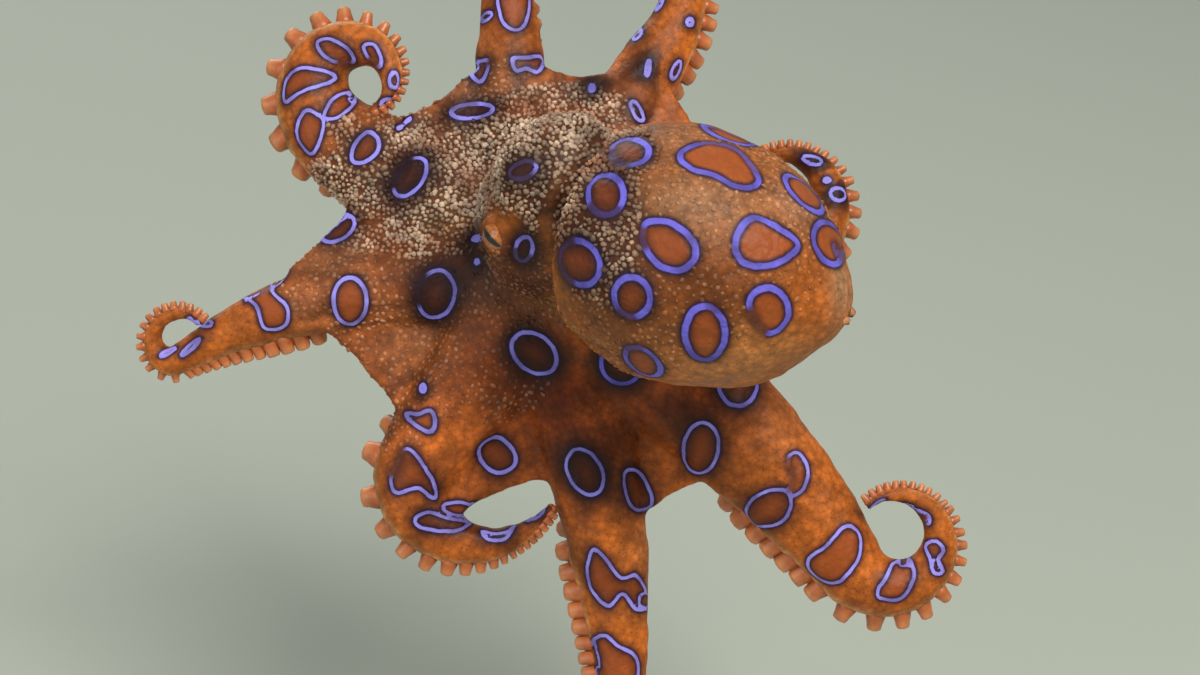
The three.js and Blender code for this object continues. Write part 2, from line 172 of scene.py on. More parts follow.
def grow_arm(bm, arm):
    place = ring_place(arm, ARM_START)
    ring = bmesh.ops.create_circle(bm, cap_ends=True, segments=ARM_SIDES, radius=1, matrix=place)["verts"]
    edges = list({edge for v in ring for edge in v.link_edges})
    steps = round((arm["length"] - ARM_START) / RING_STEP)
    for i in range(1, steps + 1):
        new_place = ring_place(arm, ARM_START + (arm["length"] - ARM_START) * i / steps)
        verts, edges = pull(bm, edges)
        bmesh.ops.transform(bm, matrix=new_place @ place.inverted(), verts=verts)
        place = new_place
    bmesh.ops.contextual_create(bm, geom=edges)


# %% [markdown]
# The web is a sheet of skin between each arm and the next. A square grid is bent into place, with
# two sides on the middles of the arms and its outer side pulled in between them, and then it gets
# its thickness.

# %% A panel of the web
WEB_START = 6
WEB_THICK = 1.5
WEB_FORWARD = 1
WEB_GRID = 24


def bearing_at(arm, distance):
    """The bearing of an arm's middle at a distance from the mouth, or where it starts to come back."""
    reach = np.hypot(arm["course"][:, 0], arm["course"][:, 2])
    back = int(np.argmax(np.diff(reach) < 0)) if (np.diff(reach) < 0).any() else ARM_STEPS
    at = min(int(np.searchsorted(reach[:back], distance)), back)
    return math.degrees(math.atan2(arm["course"][at, 2], arm["course"][at, 0]))


def web_point(arm, after, gap, skew, share, out):
    low, high = arm["web_after"], after["web_before"]
    sag = math.sin(math.pi * share**skew) ** 0.6
    edge = low + (high - low) * share - ((low + high) / 2 - gap) * sag
    distance = WEB_START + (edge - WEB_START) * out
    first = bearing_at(arm, distance)
    turn = math.radians(first + (bearing_at(after, distance) - first) % 360 * share)
    eased = share * share * (3 - 2 * share)
    dip = arm["dip"] + (after["dip"] - arm["dip"]) * eased
    return Vector((math.cos(turn) * distance, dip * fall(distance) - WEB_FORWARD, math.sin(turn) * distance))


def grow_web(bm, arm, after, gap, skew):
    sheet = bmesh.ops.create_grid(bm, x_segments=WEB_GRID, y_segments=WEB_GRID, size=0.5)["verts"]
    for v in sheet:
        share = min(max(0.5 - v.co.x, 0), 1)
        v.co = web_point(arm, after, gap, skew, share, v.co.y + 0.5)
    faces = list({f for v in sheet for f in v.link_faces})
    bmesh.ops.recalc_face_normals(bm, faces=faces)
    bmesh.ops.solidify(bm, geom=faces, thickness=WEB_THICK)


# %% [markdown]
# Head, crown and mantle are round masses: spheres stretched along their own axes. The mantle is a
# bag that is open at the neck, so its sphere is turned in on itself at the front, like the lip of a
# sock: the head then stands in a groove, with the pale edge of the bag round it. The lip of the mouth
# is a ring of small balls, which the skin later runs together.

# %% The head, the crown and the mantle
HEAD_CENTRE = Vector((0.8, -9.5, 8))
HEAD_AXIS = Vector((0.156, -0.85, 0.5)).normalized()
LEFT = Vector((-0.778, -0.417, -0.467))
LEFT = (LEFT - HEAD_AXIS * LEFT.dot(HEAD_AXIS)).normalized()
DORSAL = LEFT.cross(HEAD_AXIS).normalized()
HEAD_RADII = (8.7, 12.5, 9)
EYE_RADIUS = 2.3
EYE_OUT = 8
EYE_ALONG = 3
EYE_FORWARD = 0.5
EYE_MOUND = 4.6
MOUND_BACK = 3.1
CROWN_RADII = (12.5, 5.2, 12.5)
MANTLE_CENTRE = Vector((18.4, -24, 2.6))
MANTLE_AXIS = Vector((0.846, -0.423, -0.325)).normalized()
MANTLE_HALF = 17.5
MANTLE_WIDE = 15.9
MANTLE_DEEP = 15.2
MANTLE_UP = (DORSAL - MANTLE_AXIS * DORSAL.dot(MANTLE_AXIS)).normalized()
MANTLE_SIDE = MANTLE_UP.cross(MANTLE_AXIS)
EGG_BLUNT = 0.82
EGG_TAPER = 0.1
POINT_FROM = 0.9
POINT_OUT = 2.2
LIP_AT = -0.72
LIP_THICK = 1.3
POCKET_DEPTH = 6.5


def grow_ball(bm, centre, axes, radii, fine=32):
    place = axes_matrix(centre, axes, radii)
    bmesh.ops.create_uvsphere(bm, u_segments=fine, v_segments=fine // 2, radius=1, matrix=place)


def eye_centre(side):
    return HEAD_CENTRE + LEFT * side * EYE_OUT + HEAD_AXIS * EYE_ALONG


def eye_axes(side):
    """The directions of an eye: along its slit, across the slit, and where it looks."""
    look = (LEFT * side + HEAD_AXIS * EYE_FORWARD).normalized()
    slit = (DORSAL * -1 - look * DORSAL.dot(look) * -1).normalized()
    return slit, look.cross(slit), look


PLAIN_AXES = (Vector((1, 0, 0)), Vector((0, 1, 0)), Vector((0, 0, 1)))


def mantle_section(along):
    """The mantle's half width and its place along the axis, for -1 at the neck to 1 at the point."""
    egg = math.sqrt(max(0, 1 - along * along)) ** EGG_BLUNT * (1 - EGG_TAPER * along)
    point = POINT_OUT * max(0, (along - POINT_FROM) / (1 - POINT_FROM)) ** 2
    return egg, along * MANTLE_HALF + point


def grow_mantle(bm):
    ball = bmesh.ops.create_uvsphere(bm, u_segments=48, v_segments=48, radius=1)["verts"]
    for v in ball:
        along, round_off = v.co.z, math.hypot(v.co.x, v.co.y)
        turn = math.atan2(v.co.y, v.co.x)
        if along >= LIP_AT:
            egg, reach = mantle_section(along)
            shrink = 0
        else:
            egg, reach = mantle_section(LIP_AT)
            inner = (LIP_AT - along) / (1 + LIP_AT)
            shrink = LIP_THICK
            reach += POCKET_DEPTH * inner * 2 if inner < 0.5 else POCKET_DEPTH
            if inner >= 0.5:
                egg *= max(0, 2 - inner * 2)
                shrink *= max(0, 2 - inner * 2)
        v.co = (MANTLE_CENTRE + MANTLE_AXIS * reach
                + MANTLE_SIDE * math.cos(turn) * max(0, egg * MANTLE_WIDE - shrink)
                + MANTLE_UP * math.sin(turn) * max(0, egg * MANTLE_DEEP - shrink))


MOUTH_LIP = 2.1
LIP_HALF = 0.95
LIP_FACE = 5.6
LIP_BALLS = 16
MOUTH_DEEP = 1.6
CROWN_MIDDLE = Vector((0, 0.6, 0))
NAPE_CENTRE = HEAD_CENTRE + HEAD_AXIS * 6 + DORSAL * 3.5 + MANTLE_AXIS * 2.5
NAPE_RADII = (8.5, 8, 7)


def grow_head(bm):
    grow_ball(bm, CROWN_MIDDLE, PLAIN_AXES, CROWN_RADII)
    for turn in (math.tau * i / LIP_BALLS for i in range(LIP_BALLS)):
        place = Vector((MOUTH_LIP * math.cos(turn), LIP_FACE, MOUTH_LIP * math.sin(turn)))
        grow_ball(bm, place, PLAIN_AXES, (LIP_HALF,) * 3, 10)
    grow_ball(bm, HEAD_CENTRE, (LEFT, HEAD_AXIS, DORSAL), HEAD_RADII)
    grow_ball(bm, NAPE_CENTRE, (LEFT, HEAD_AXIS, DORSAL), NAPE_RADII)
    for side in (1, -1):
        mound = eye_centre(side) - eye_axes(side)[2] * MOUND_BACK
        grow_ball(bm, mound, PLAIN_AXES, (EYE_MOUND,) * 3, 24)


# %% [markdown]
# The eyelid is a soft fold round each eye, wider than it is high: small balls in an oval, which the
# skin later runs together. The funnel, which the animal breathes and swims with, is a half profile
# that a full spin turns into a short, hollow nozzle.

# %% The eyelids and the funnel
LID_WIDE = 2.15
LID_HIGH = 1.65
LID_THICK = 0.6
LID_OUT = 1.3
LID_STEPS = 28
FUNNEL_OUT = (HEAD_AXIS * -1 + DORSAL * -0.55 + LEFT * 0.15).normalized()
FUNNEL_ROOT = HEAD_CENTRE - DORSAL * 8.6 + HEAD_AXIS * 3.4
FUNNEL_PROFILE = [(0.01, 0), (3.45, 0), (2.3, 5.4), (1.9, 9), (1.15, 9), (1, 5), (0.01, 4.5)]


def grow_lid(bm, side):
    slit, across, look = eye_axes(side)
    centre = eye_centre(side) + look * LID_OUT
    for turn in (math.tau * i / LID_STEPS for i in range(LID_STEPS)):
        place = centre + slit * LID_WIDE * math.cos(turn) + across * LID_HIGH * math.sin(turn)
        grow_ball(bm, place, PLAIN_AXES, (LID_THICK,) * 3, 10)


def grow_funnel(bm):
    turn = Vector((0, 0, 1)).rotation_difference(FUNNEL_OUT).to_matrix().to_4x4()
    profile = [bm.verts.new((r, 0, h)) for r, h in FUNNEL_PROFILE]
    edges = [bm.edges.new(pair) for pair in zip(profile, profile[1:])]
    bmesh.ops.spin(bm, geom=profile + edges, axis=(0, 0, 1), cent=(0, 0, 0), steps=24,
                   angle=math.tau, use_merge=True)
    bmesh.ops.remove_doubles(bm, verts=bm.verts, dist=0.02)
    bmesh.ops.transform(bm, matrix=Matrix.Translation(FUNNEL_ROOT) @ turn, verts=bm.verts)


# %% [markdown]
# All these shells overlap. A voxel remesh turns them into the one closed surface that surrounds them,
# and a smoothing pass rounds the corners where one form runs into the next. The smoothing is strong
# near the mouth, where flesh is thick, and light on the thin tips, which it would eat away.

# %% One skin over everything
VOXEL = 0.49
SMOOTH_STEPS = 11
SOFT_REACH = 22
FIRM_REACH = 40
FIRM_SHARE = 0.16


def as_mesh(name, bm, face_out=True):
    """A bmesh as a mesh, with its faces turned outwards; the bmesh is used up."""
    if face_out:
        bmesh.ops.recalc_face_normals(bm, faces=bm.faces)
    mesh = bpy.data.meshes.new(name)
    bm.to_mesh(mesh)
    bm.free()
    return mesh


def finished(name, bm, face_out=True):
    """A bmesh as an object of the scene."""
    made = bpy.data.objects.new(name, as_mesh(name, bm, face_out))
    bpy.context.scene.collection.objects.link(made)
    return made


def apply_modifiers(made):
    """Bakes an object's modifiers into its mesh."""
    bpy.context.view_layer.update()
    graph = bpy.context.evaluated_depsgraph_get()
    baked = bpy.data.meshes.new_from_object(made.evaluated_get(graph))
    made.modifiers.clear()
    made.data = baked


def coords(made, normals=False):
    """The places of a mesh's points, or their normals."""
    flat = np.empty(len(made.data.vertices) * 3, np.float32)
    source, key = (made.data.vertex_normals, "vector") if normals else (made.data.vertices, "co")
    source.foreach_get(key, flat)
    return flat.reshape(-1, 3)


steps = []
for i, arm in enumerate(arms):
    steps.append([(grow_arm, arm)])
    steps.append([(grow_web, arm, arms[(i + 1) % len(arms)], WEB_GAPS[i], WEB_SKEWS[i])])
steps.append([(grow_head,), (grow_mantle,), (grow_lid, 1), (grow_lid, -1)])
steps.append([(grow_funnel,)])

everything = bmesh.new()
for step in steps:
    shell = bmesh.new()
    for grow, *values in step:
        grow(shell, *values)
    part = as_mesh("shell", shell)
    everything.from_mesh(part)
    bpy.data.meshes.remove(part)
skin = finished("octopus_skin", everything, face_out=False)
print(len(steps), "shells are grown into one skin")

remesh = skin.modifiers.new("one surface", "REMESH")
remesh.mode = "VOXEL"
remesh.voxel_size = VOXEL
apply_modifiers(skin)

reach = np.linalg.norm(coords(skin), axis=1)
soft = np.clip((FIRM_REACH - reach) / (FIRM_REACH - SOFT_REACH), FIRM_SHARE, 1)
group = skin.vertex_groups.new(name="soft")
for level in np.unique(np.round(soft, 1)):
    members = np.nonzero(np.round(soft, 1) == level)[0]
    group.add(members.tolist(), float(level), "REPLACE")
rounding = skin.modifiers.new("soft corners", "SMOOTH")
rounding.factor = 0.5
rounding.iterations = SMOOTH_STEPS
rounding.vertex_group = "soft"
apply_modifiers(skin)
skin.vertex_groups.clear()

# %% [markdown]
# Living skin is never quite even. Every point is moved in or out by a fraction of a millimetre, by two
# layers of smooth noise, one 4.5 mm wide and one finer, and less on the thin tips. The mouth's middle
# is pushed in here too.

# %% Uneven skin
WAVES = ((4.5, 0.3), (1.6, 0.14))
CALM_FROM = 75
CALM_OVER = 35
CALM_LEAST = 0.25
points = coords(skin)
lift = np.zeros(len(points))
for wide, high in WAVES:
    lift += high * np.array([noise.noise(place) for place in (points / wide).tolist()])
firm = np.clip((CALM_FROM - np.linalg.norm(points, axis=1)) / CALM_OVER, CALM_LEAST, 1)
moved = points + coords(skin, normals=True) * (lift * firm)[:, None]
mouth_gap = np.hypot(points[:, 0], points[:, 2])
moved[:, 1] -= MOUTH_DEEP * np.clip(1 - mouth_gap / MOUTH_LIP, 0, 1) * (points[:, 1] > 0)
skin.data.vertices.foreach_set("co", moved.astype(np.float32).ravel())
skin.data.update()
print("the skin waves by up to", round(float(np.abs(lift).max()), 2), "mm")
print("the skin has", len(skin.data.vertices), "points and", len(skin.data.polygons), "faces")

# %% [markdown]
# The markings are laid on the skin through the camera, as slides are thrown on a wall: an outline is
# drawn where the photograph shows it, each of its points is followed along the camera's ray until it
# meets the skin, and from there on the ring lives on the skin, in millimetres. A ray may start inside
# the view, just in front of its own surface, so that a ring half hidden by the mantle lands on the web
# behind it.

# %% From the photograph to the skin
PHOTO_CENTRE = (600, 337.5)
PIXELS_PER_MM = 8
RAY_ROOM = 6

points = coords(skin).astype(np.float64)
normals = coords(skin, normals=True)
surface = BVHTree.FromPolygons(
    points.tolist(), [tuple(face.vertices) for face in skin.data.polygons])

zoom = VIEW_DISTANCE / (VIEW_DISTANCE + points[:, 1]) * PIXELS_PER_MM
seen_at = np.stack([PHOTO_CENTRE[0] + (points[:, 0] - VIEW_CENTRE[0]) * zoom,
                    PHOTO_CENTRE[1] - (points[:, 2] - VIEW_CENTRE[1]) * zoom], 1)
to_eye = np.array(eye_point) - points
to_eye /= np.linalg.norm(to_eye, axis=1)[:, None]
facing_eye = (normals * to_eye).sum(1)


def photo_ray(across, down):
    """The direction from the camera through a place in the photograph."""
    x = VIEW_CENTRE[0] + (across - PHOTO_CENTRE[0]) / PIXELS_PER_MM
    z = VIEW_CENTRE[1] - (down - PHOTO_CENTRE[1]) / PIXELS_PER_MM
    return (Vector((x, 0, z)) - eye_point).normalized()


def on_skin(across, down, from_depth=None):
    """Where a place in the photograph lies on the skin."""
    ray = photo_ray(across, down)
    start = eye_point
    if from_depth is not None:
        start = eye_point + ray * ((from_depth + VIEW_DISTANCE) / ray.y)
    hit = surface.ray_cast(start, ray)[0]
    if hit is None:
        depth = 0 if from_depth is None else from_depth + RAY_ROOM
        hit = surface.find_nearest(eye_point + ray * ((depth + VIEW_DISTANCE) / ray.y))[0]
    return hit


print("the skin's middle is", round(on_skin(600, 420).y, 1), "mm behind the mouth's plane")


# %% [markdown]
# A ring is a line of bright, blue reflecting cells in the skin, round a patch of brown, with a dark
# edge on both sides. For each point of the skin the script works out the distance to the nearest ring
# line, negative inside the ring. The shader draws the line, its edge and the patch from that number.

# %% Laying a ring
ARM_LINE = 0.22
WEB_LINE = 0.26
MANTLE_LINE = 0.37
ARM_BLUE = 0.25
WEB_BLUE = 0.35
MANTLE_BLUE = 0.75
FAR = 9
OUTLINE_FINE = 7
OVAL_CORNERS = 12
RING_REACH = 4.5
GAP_FADE = 0.03

ring_distance = np.full(len(points), float(FAR))
ring_lit = np.zeros(len(points))
ring_dark = np.zeros(len(points))
ring_line = np.full(len(points), ARM_LINE)
ring_blue = np.zeros(len(points))


def oval(across, down, wide, high, lean=0):
    """The outline of a leaning oval in the photograph, anticlockwise from its right end."""
    lean = math.radians(lean)
    outline = []
    for turn in (math.tau * i / OVAL_CORNERS for i in range(OVAL_CORNERS)):
        x, y = wide / 2 * math.cos(turn), high / 2 * math.sin(turn)
        outline.append((across + x * math.cos(lean) - y * math.sin(lean),
                        down - x * math.sin(lean) - y * math.cos(lean)))
    return outline


def rounded(outline):
    """A smooth closed line through the corners of an outline."""
    corners = np.array(outline, float)
    before, after, beyond = (np.roll(corners, shift, 0) for shift in (1, -1, -2))
    smooth = []
    for t in np.arange(OUTLINE_FINE) / OUTLINE_FINE:
        smooth.append(0.5 * (2 * corners + (after - before) * t
                             + (2 * before - 5 * corners + 4 * after - beyond) * t**2
                             + (3 * corners - before - 3 * after + beyond) * t**3))
    return np.stack(smooth, 1).reshape(-1, 2)


def inside(places, outline):
    """Which places lie inside a closed outline, by counting the edges to their right."""
    x, y = places[:, :1], places[:, 1:]
    x1, y1 = outline.T
    x2, y2 = np.roll(outline, -1, 0).T
    spans = (y1 > y) != (y2 > y)
    with np.errstate(divide="ignore", invalid="ignore"):
        crossing = x1 + (y - y1) * (x2 - x1) / (y2 - y1)
    return ((spans & (x < crossing)).sum(1) % 2) == 1


def note_ring(members, distance, lit, dark, line, blue):
    """Keeps a ring's values where it is the nearest."""
    nearer = distance < ring_distance[members]
    members = members[nearer]
    ring_distance[members] = distance[nearer]
    ring_lit[members] = lit[nearer]
    ring_dark[members] = dark
    ring_line[members] = line
    ring_blue[members] = blue


def lay_ring(outline, line, dark, blue, gap=None, faint=0, root=None, room=RAY_ROOM):
    """Lays one ring. gap is the share of the way round, from and to, where its line is faint: there the line
    is painted shade, kept at faint of its brightness.
    """
    path = rounded(outline)
    middle = path.mean(0) if root is None else root
    depth = on_skin(*middle).y
    laid = np.array([on_skin(*place, depth - room) for place in path])
    margin = RING_REACH * PIXELS_PER_MM
    low, high = path.min(0) - margin, path.max(0) + margin
    near = ((seen_at > low) & (seen_at < high)).all(1) & (np.abs(points[:, 1] - depth) < room + 3)
    members = np.nonzero(near & (facing_eye > -0.3))[0]
    if len(members) == 0:
        return
    ends = np.roll(laid, -1, 0)
    along = ends - laid
    offset = points[members][:, None] - laid[None]
    share = (offset * along).sum(2) / np.maximum((along * along).sum(1), 1e-9)
    share = np.clip(share, 0, 1)
    gaps = np.linalg.norm(offset - along * share[..., None], axis=2)
    nearest = gaps.argmin(1)
    distance = gaps[np.arange(len(members)), nearest]
    distance[inside(seen_at[members], path)] *= -1
    # lit is painted light and shade along the ring's line: 1 where the line catches the light, down to faint
    # on its shaded stretch
    lit = np.ones(len(members))
    if gap:
        way = (nearest + share[np.arange(len(members)), nearest]) / len(path)
        half = (gap[1] - gap[0]) / 2
        away = np.abs((way - (gap[0] + half) + 0.5) % 1 - 0.5)
        lit = faint + (1 - faint) * np.clip((away - half) / GAP_FADE + 0.5, 0, 1)
    note_ring(members, distance, lit, dark, line, blue)


# %% [markdown]
# These are the rings the photograph shows, by their places in it, 8 pixels to the millimetre. Most are
# ovals. The others are the lobed rings, with a corner wherever the line turns. Each has how dark its
# skin is, from 0 to 1. On some rings a stretch of the line is dark: painted shade, where that part of the
# reflecting line lies in shade. The two that pass behind the mantle are followed from a root, a place near
# them where the web shows.

# %% The rings of the mantle
for outline, dark, gap, faint in [
    ([(680, 154), (704, 143), (737, 150), (758, 177), (752, 187), (735, 186), (714, 175), (690, 168)],
     0.05, (0.12, 0.36), 0.4),
    ([(735, 243), (752, 218), (785, 232), (798, 247), (775, 264), (746, 264)], 0.05, None, 0),
    ([(645, 224), (668, 222), (690, 237), (696, 255), (682, 270), (660, 266), (645, 247)],
     0.25, (0.84, 0.98), 0.1),
    (oval(829, 243, 28, 44, 22), 0.1, (0.8, 1.1), 0.4),
    ([(749, 303), (757, 291), (772, 288), (786, 300), (787, 320), (772, 333), (758, 326)],
     0.15, (0.76, 0.97), 0),
    (oval(705, 333, 40, 54), 0.25, (0.14, 0.24), 0.5),
    (oval(632, 297, 36, 40, 15), 0.45, (0.56, 0.74), 0.2),
    (oval(580, 263, 38, 46, 28), 0.55, (0.2, 0.62), 0.12),
    (oval(606, 195, 36, 40), 0.5, (0.56, 0.9), 0.2),
    (oval(630, 152, 38, 26), 0.5, (0.45, 0.75), 0.1),
    (oval(729, 134, 54, 13, -20), 0.15, (0.1, 0.36), 0.3),
    (oval(804, 194, 50, 17, -44), 0.1, (0.1, 0.3), 0.3),
    (oval(643, 362, 40, 22, -35), 0.3, (0.3, 0.5), 0.4),
]:
    lay_ring(outline, MANTLE_LINE, dark, MANTLE_BLUE, gap=gap, faint=faint)

# %% The rings of the web and the head
for outline, dark, gap, faint in [
    (oval(350, 301, 33, 47), 0.2, None, 0),
    (oval(436, 294, 37, 48, -12), 0.95, (0.36, 0.62), 0),
    (oval(534, 353, 50, 36, -38), 0.9, None, 0),
    ([(480, 447), (497, 437), (513, 450), (514, 466), (497, 473), (482, 462)], 0.5, None, 0),
    (oval(472, 111, 43, 14, 6), 0.75, (0.2, 0.45), 0.4),
    ([(367, 132), (378, 139), (376, 154), (361, 163), (352, 160), (354, 146)], 0.4, None, 0),
    (oval(410, 177, 26, 44, -36), 0.95, (0.34, 0.68), 0),
    (oval(337, 228, 38, 24, 28), 0.6, None, 0),
    ([(468, 68), (485, 60), (488, 67), (480, 82)], 0.5, (0.32, 0.5), 0),
    ([(513, 58), (527, 58), (540, 56), (543, 64), (537, 72), (526, 68), (516, 71)], 0.25, None, 0),
    ([(405, 414), (418, 414), (431, 411), (435, 424), (430, 432), (418, 427)], 0.1, None, 0),
    (oval(423, 388, 5, 8), 0.6, None, 0),
    (oval(523, 170, 28, 16, 20), 0.75, (0.05, 0.85), 0.1),
    (oval(592, 88, 4, 7), 0.95, None, 0),
    (oval(479, 238, 12, 4, 8), 0.9, None, 0),
    (oval(524, 249, 17, 25, -12), 0.85, (0.5, 0.95), 0.15),
    (oval(477, 262, 3, 4), 0.8, None, 0),
]:
    lay_ring(outline, WEB_LINE, dark, WEB_BLUE * dark, gap=gap, faint=faint)
for outline, dark, blue, gap, root in [
    (oval(622, 362, 42, 44), 0.95, 0.8, (0.9, 1.45), (610, 372)),
    (oval(738, 384, 38, 44), 0.7, 0.5, (0.05, 0.45), (738, 404)),
]:
    lay_ring(outline, WEB_LINE, dark, blue, gap=gap, root=root, room=2)

# %% The rings of the lower arms
for outline, dark, gap in [
    (oval(585, 472, 33, 49, 28), 0.9, None),
    ([(624, 474), (637, 471), (648, 486), (652, 504), (638, 510), (628, 500)], 0.6, None),
    (oval(701, 448, 35, 51, -8), 0.5, None),
    ([(746, 510), (760, 494), (784, 490), (791, 505), (781, 522), (758, 526)], 0.5, None),
    ([(788, 458), (799, 453), (808, 470), (803, 489), (790, 496), (792, 476)], 0.15, (0.72, 1.0)),
    ([(808, 560), (826, 546), (846, 526), (860, 536), (857, 562), (836, 583), (814, 575)], 0.15, None),
    ([(893, 564), (908, 558), (914, 576), (902, 598), (880, 598), (879, 588), (886, 578)], 0.15, None),
    ([(870, 513), (877, 505), (887, 505), (880, 510)], 0.3, None),
    ([(902, 513), (914, 509), (929, 516), (928, 524), (915, 521)], 0.3, (0.62, 0.95)),
    ([(925, 546), (935, 541), (944, 550), (938, 559), (943, 572), (934, 573), (930, 558)], 0.2, None),
    ([(593, 550), (603, 556), (621, 578), (637, 576), (650, 604), (636, 609), (623, 594), (608, 606),
      (592, 590), (587, 570)], 0.35, None),
    ([(604, 635), (590, 645), (592, 664), (606, 688), (624, 696), (637, 680), (636, 657), (618, 646)],
     0.25, None),
    ([(404, 450), (412, 451), (424, 466), (434, 484), (436, 497), (429, 496), (418, 488), (396, 493),
      (391, 480), (396, 466)], 0.4, (0.82, 1.02)),
    ([(415, 519), (428, 512), (444, 517), (462, 521), (470, 523), (458, 530), (440, 531), (420, 527)],
     0.5, None),
    (oval(460, 509, 35, 13, -6), 0.2, None),
    ([(482, 531), (490, 540), (506, 538), (514, 526), (508, 531), (496, 534)], 0.6, None),
    ([(524, 517), (532, 508), (542, 505), (543, 512), (534, 519)], 0.5, None),
]:
    lay_ring(outline, ARM_LINE, dark, ARM_BLUE * dark, gap=gap)

# %% The rings of the upper arms
for outline, dark, gap in [
    ([(307, 110), (298, 122), (298, 139), (311, 154), (320, 140), (323, 120)], 0.2, None),
    ([(324, 116), (334, 98), (355, 92), (352, 106), (336, 118)], 0.15, None),
    ([(301, 68), (286, 81), (285, 102), (301, 92), (334, 80), (330, 73)], 0.3, None),
    ([(317, 42), (330, 39), (348, 49), (354, 63), (336, 62), (322, 54)], 0.3, (0.5, 0.66)),
    ([(364, 46), (374, 45), (381, 58), (379, 68), (368, 58)], 0.2, (0.62, 0.8)),
    (oval(394, 80, 9, 17), 0.1, None),
    (oval(387, 103, 13, 7, 10), 0.1, None),
    (oval(405, 110, 3, 12, -25), 0.1, None),
    ([(270, 262), (272, 290), (287, 307), (285, 326), (265, 328), (256, 305), (240, 293), (256, 280)],
     0.1, (0.86, 1.03)),
    (oval(186, 324, 11, 7, 20), 0.2, None),
    (oval(205, 323, 15, 7, -10), 0.2, None),
    (oval(191, 347, 26, 5, 42), 0.2, None),
    (oval(168, 352, 18, 4, 28), 0.2, None),
    ([(499, -8), (502, 20), (515, 30), (527, 20), (527, -8)], 0.25, (0.75, 1.0)),
    (oval(486, 17, 14, 6, 34), 0.3, None),
    (oval(648, 68, 4, 16, -8), 0.9, None),
    (oval(676, 70, 7, 20, -25), 0.2, None),
    (oval(637, 34, 7, 13, -30), 0.5, None),
    (oval(690, 22, 7, 8), 0.3, None),
    (oval(659, 5, 4, 12, -35), 0.5, None),
    ([(630, 104), (636, 102), (644, 119), (637, 119)], 0.4, None),
    (oval(812, 160, 20, 8, -14), 0.9, None),
    (oval(838, 194, 16, 12, -20), 0.9, None),
    (oval(827, 180, 6, 4), 0.3, None),
]:
    lay_ring(outline, ARM_LINE, dark, ARM_BLUE * dark, gap=gap)
print("the rings mark", int((ring_distance < ring_line).sum()), "points of the skin")

# %% [markdown]
# The photograph doesn't show the far side of the mantle and arms. A real animal carries rings there too,
# so more are dropped at random, from a fixed seed, on the skin that looks away from the camera, each
# with room around it, and none on the side of the suckers.

# %% Which way each point of the skin looks
ROLL_BEFORE = 10
ROLL_OVER = 14
SUCKER_SIDE = (0.2, 0.65)
MANTLE_EDGE = (1.16, 1.05)
HEAD_EDGE = (1.5, 1.15)
courses = KDTree(len(arms) * (ARM_STEPS + 1))
course_list = []
for arm in arms:
    for i, place in enumerate(arm["course"]):
        courses.insert(place, len(course_list))
        course_list.append((arm, arm["length"] * i / ARM_STEPS))
courses.balance()


def sucker_turn(arm, distance):
    """How far the sucker side looks outwards, past the edge of the web."""
    free = arm["web_before"] if arm["side"] > 0 else arm["web_after"]
    share = min(max((distance - free + ROLL_BEFORE) / ROLL_OVER, 0), 1)
    return math.radians(arm["turn"]) * share * share * (3 - 2 * share)


nearest_course = [courses.find(place)[1:] for place in points]
course_away = np.array([away for _, away in nearest_course])
course_out = np.array([course_list[i][1] for i, _ in nearest_course])
sucker_sides = []
for arm, distance in course_list:
    _, _, across, under = arm_frame(arm, distance)
    turn = sucker_turn(arm, distance)
    sucker_sides.append(under * math.cos(turn) - across * arm["side"] * math.sin(turn))
sucker_sides = np.array(sucker_sides)[[i for i, _ in nearest_course]]


def ramp(values, low, high):
    """0 below low, 1 above high and a smooth step between them; low may be the higher one."""
    share = np.clip((values - low) / (high - low), 0, 1)
    return share * share * (3 - 2 * share)


def from_middle(centre, axes, radii):
    """How far out each point is in a stretched ball, where 1 is its surface."""
    parts = [(points - np.array(centre)) @ np.array(axis) / radius for axis, radius in zip(axes, radii)]
    return np.linalg.norm(np.stack(parts, 1), axis=1)


mouth_side = ramp((normals * sucker_sides).sum(1), *SUCKER_SIDE)
mantle_out = from_middle(MANTLE_CENTRE, (MANTLE_AXIS, MANTLE_SIDE, MANTLE_UP),
                         (MANTLE_HALF + 0.5, MANTLE_WIDE, MANTLE_DEEP))
on_mantle = ramp(mantle_out, *MANTLE_EDGE)
head_out = from_middle(HEAD_CENTRE, (LEFT, HEAD_AXIS, DORSAL), HEAD_RADII)
on_head = ramp(head_out, *HEAD_EDGE) * (1 - on_mantle)
mouth_side *= (1 - on_mantle) * (1 - on_head)

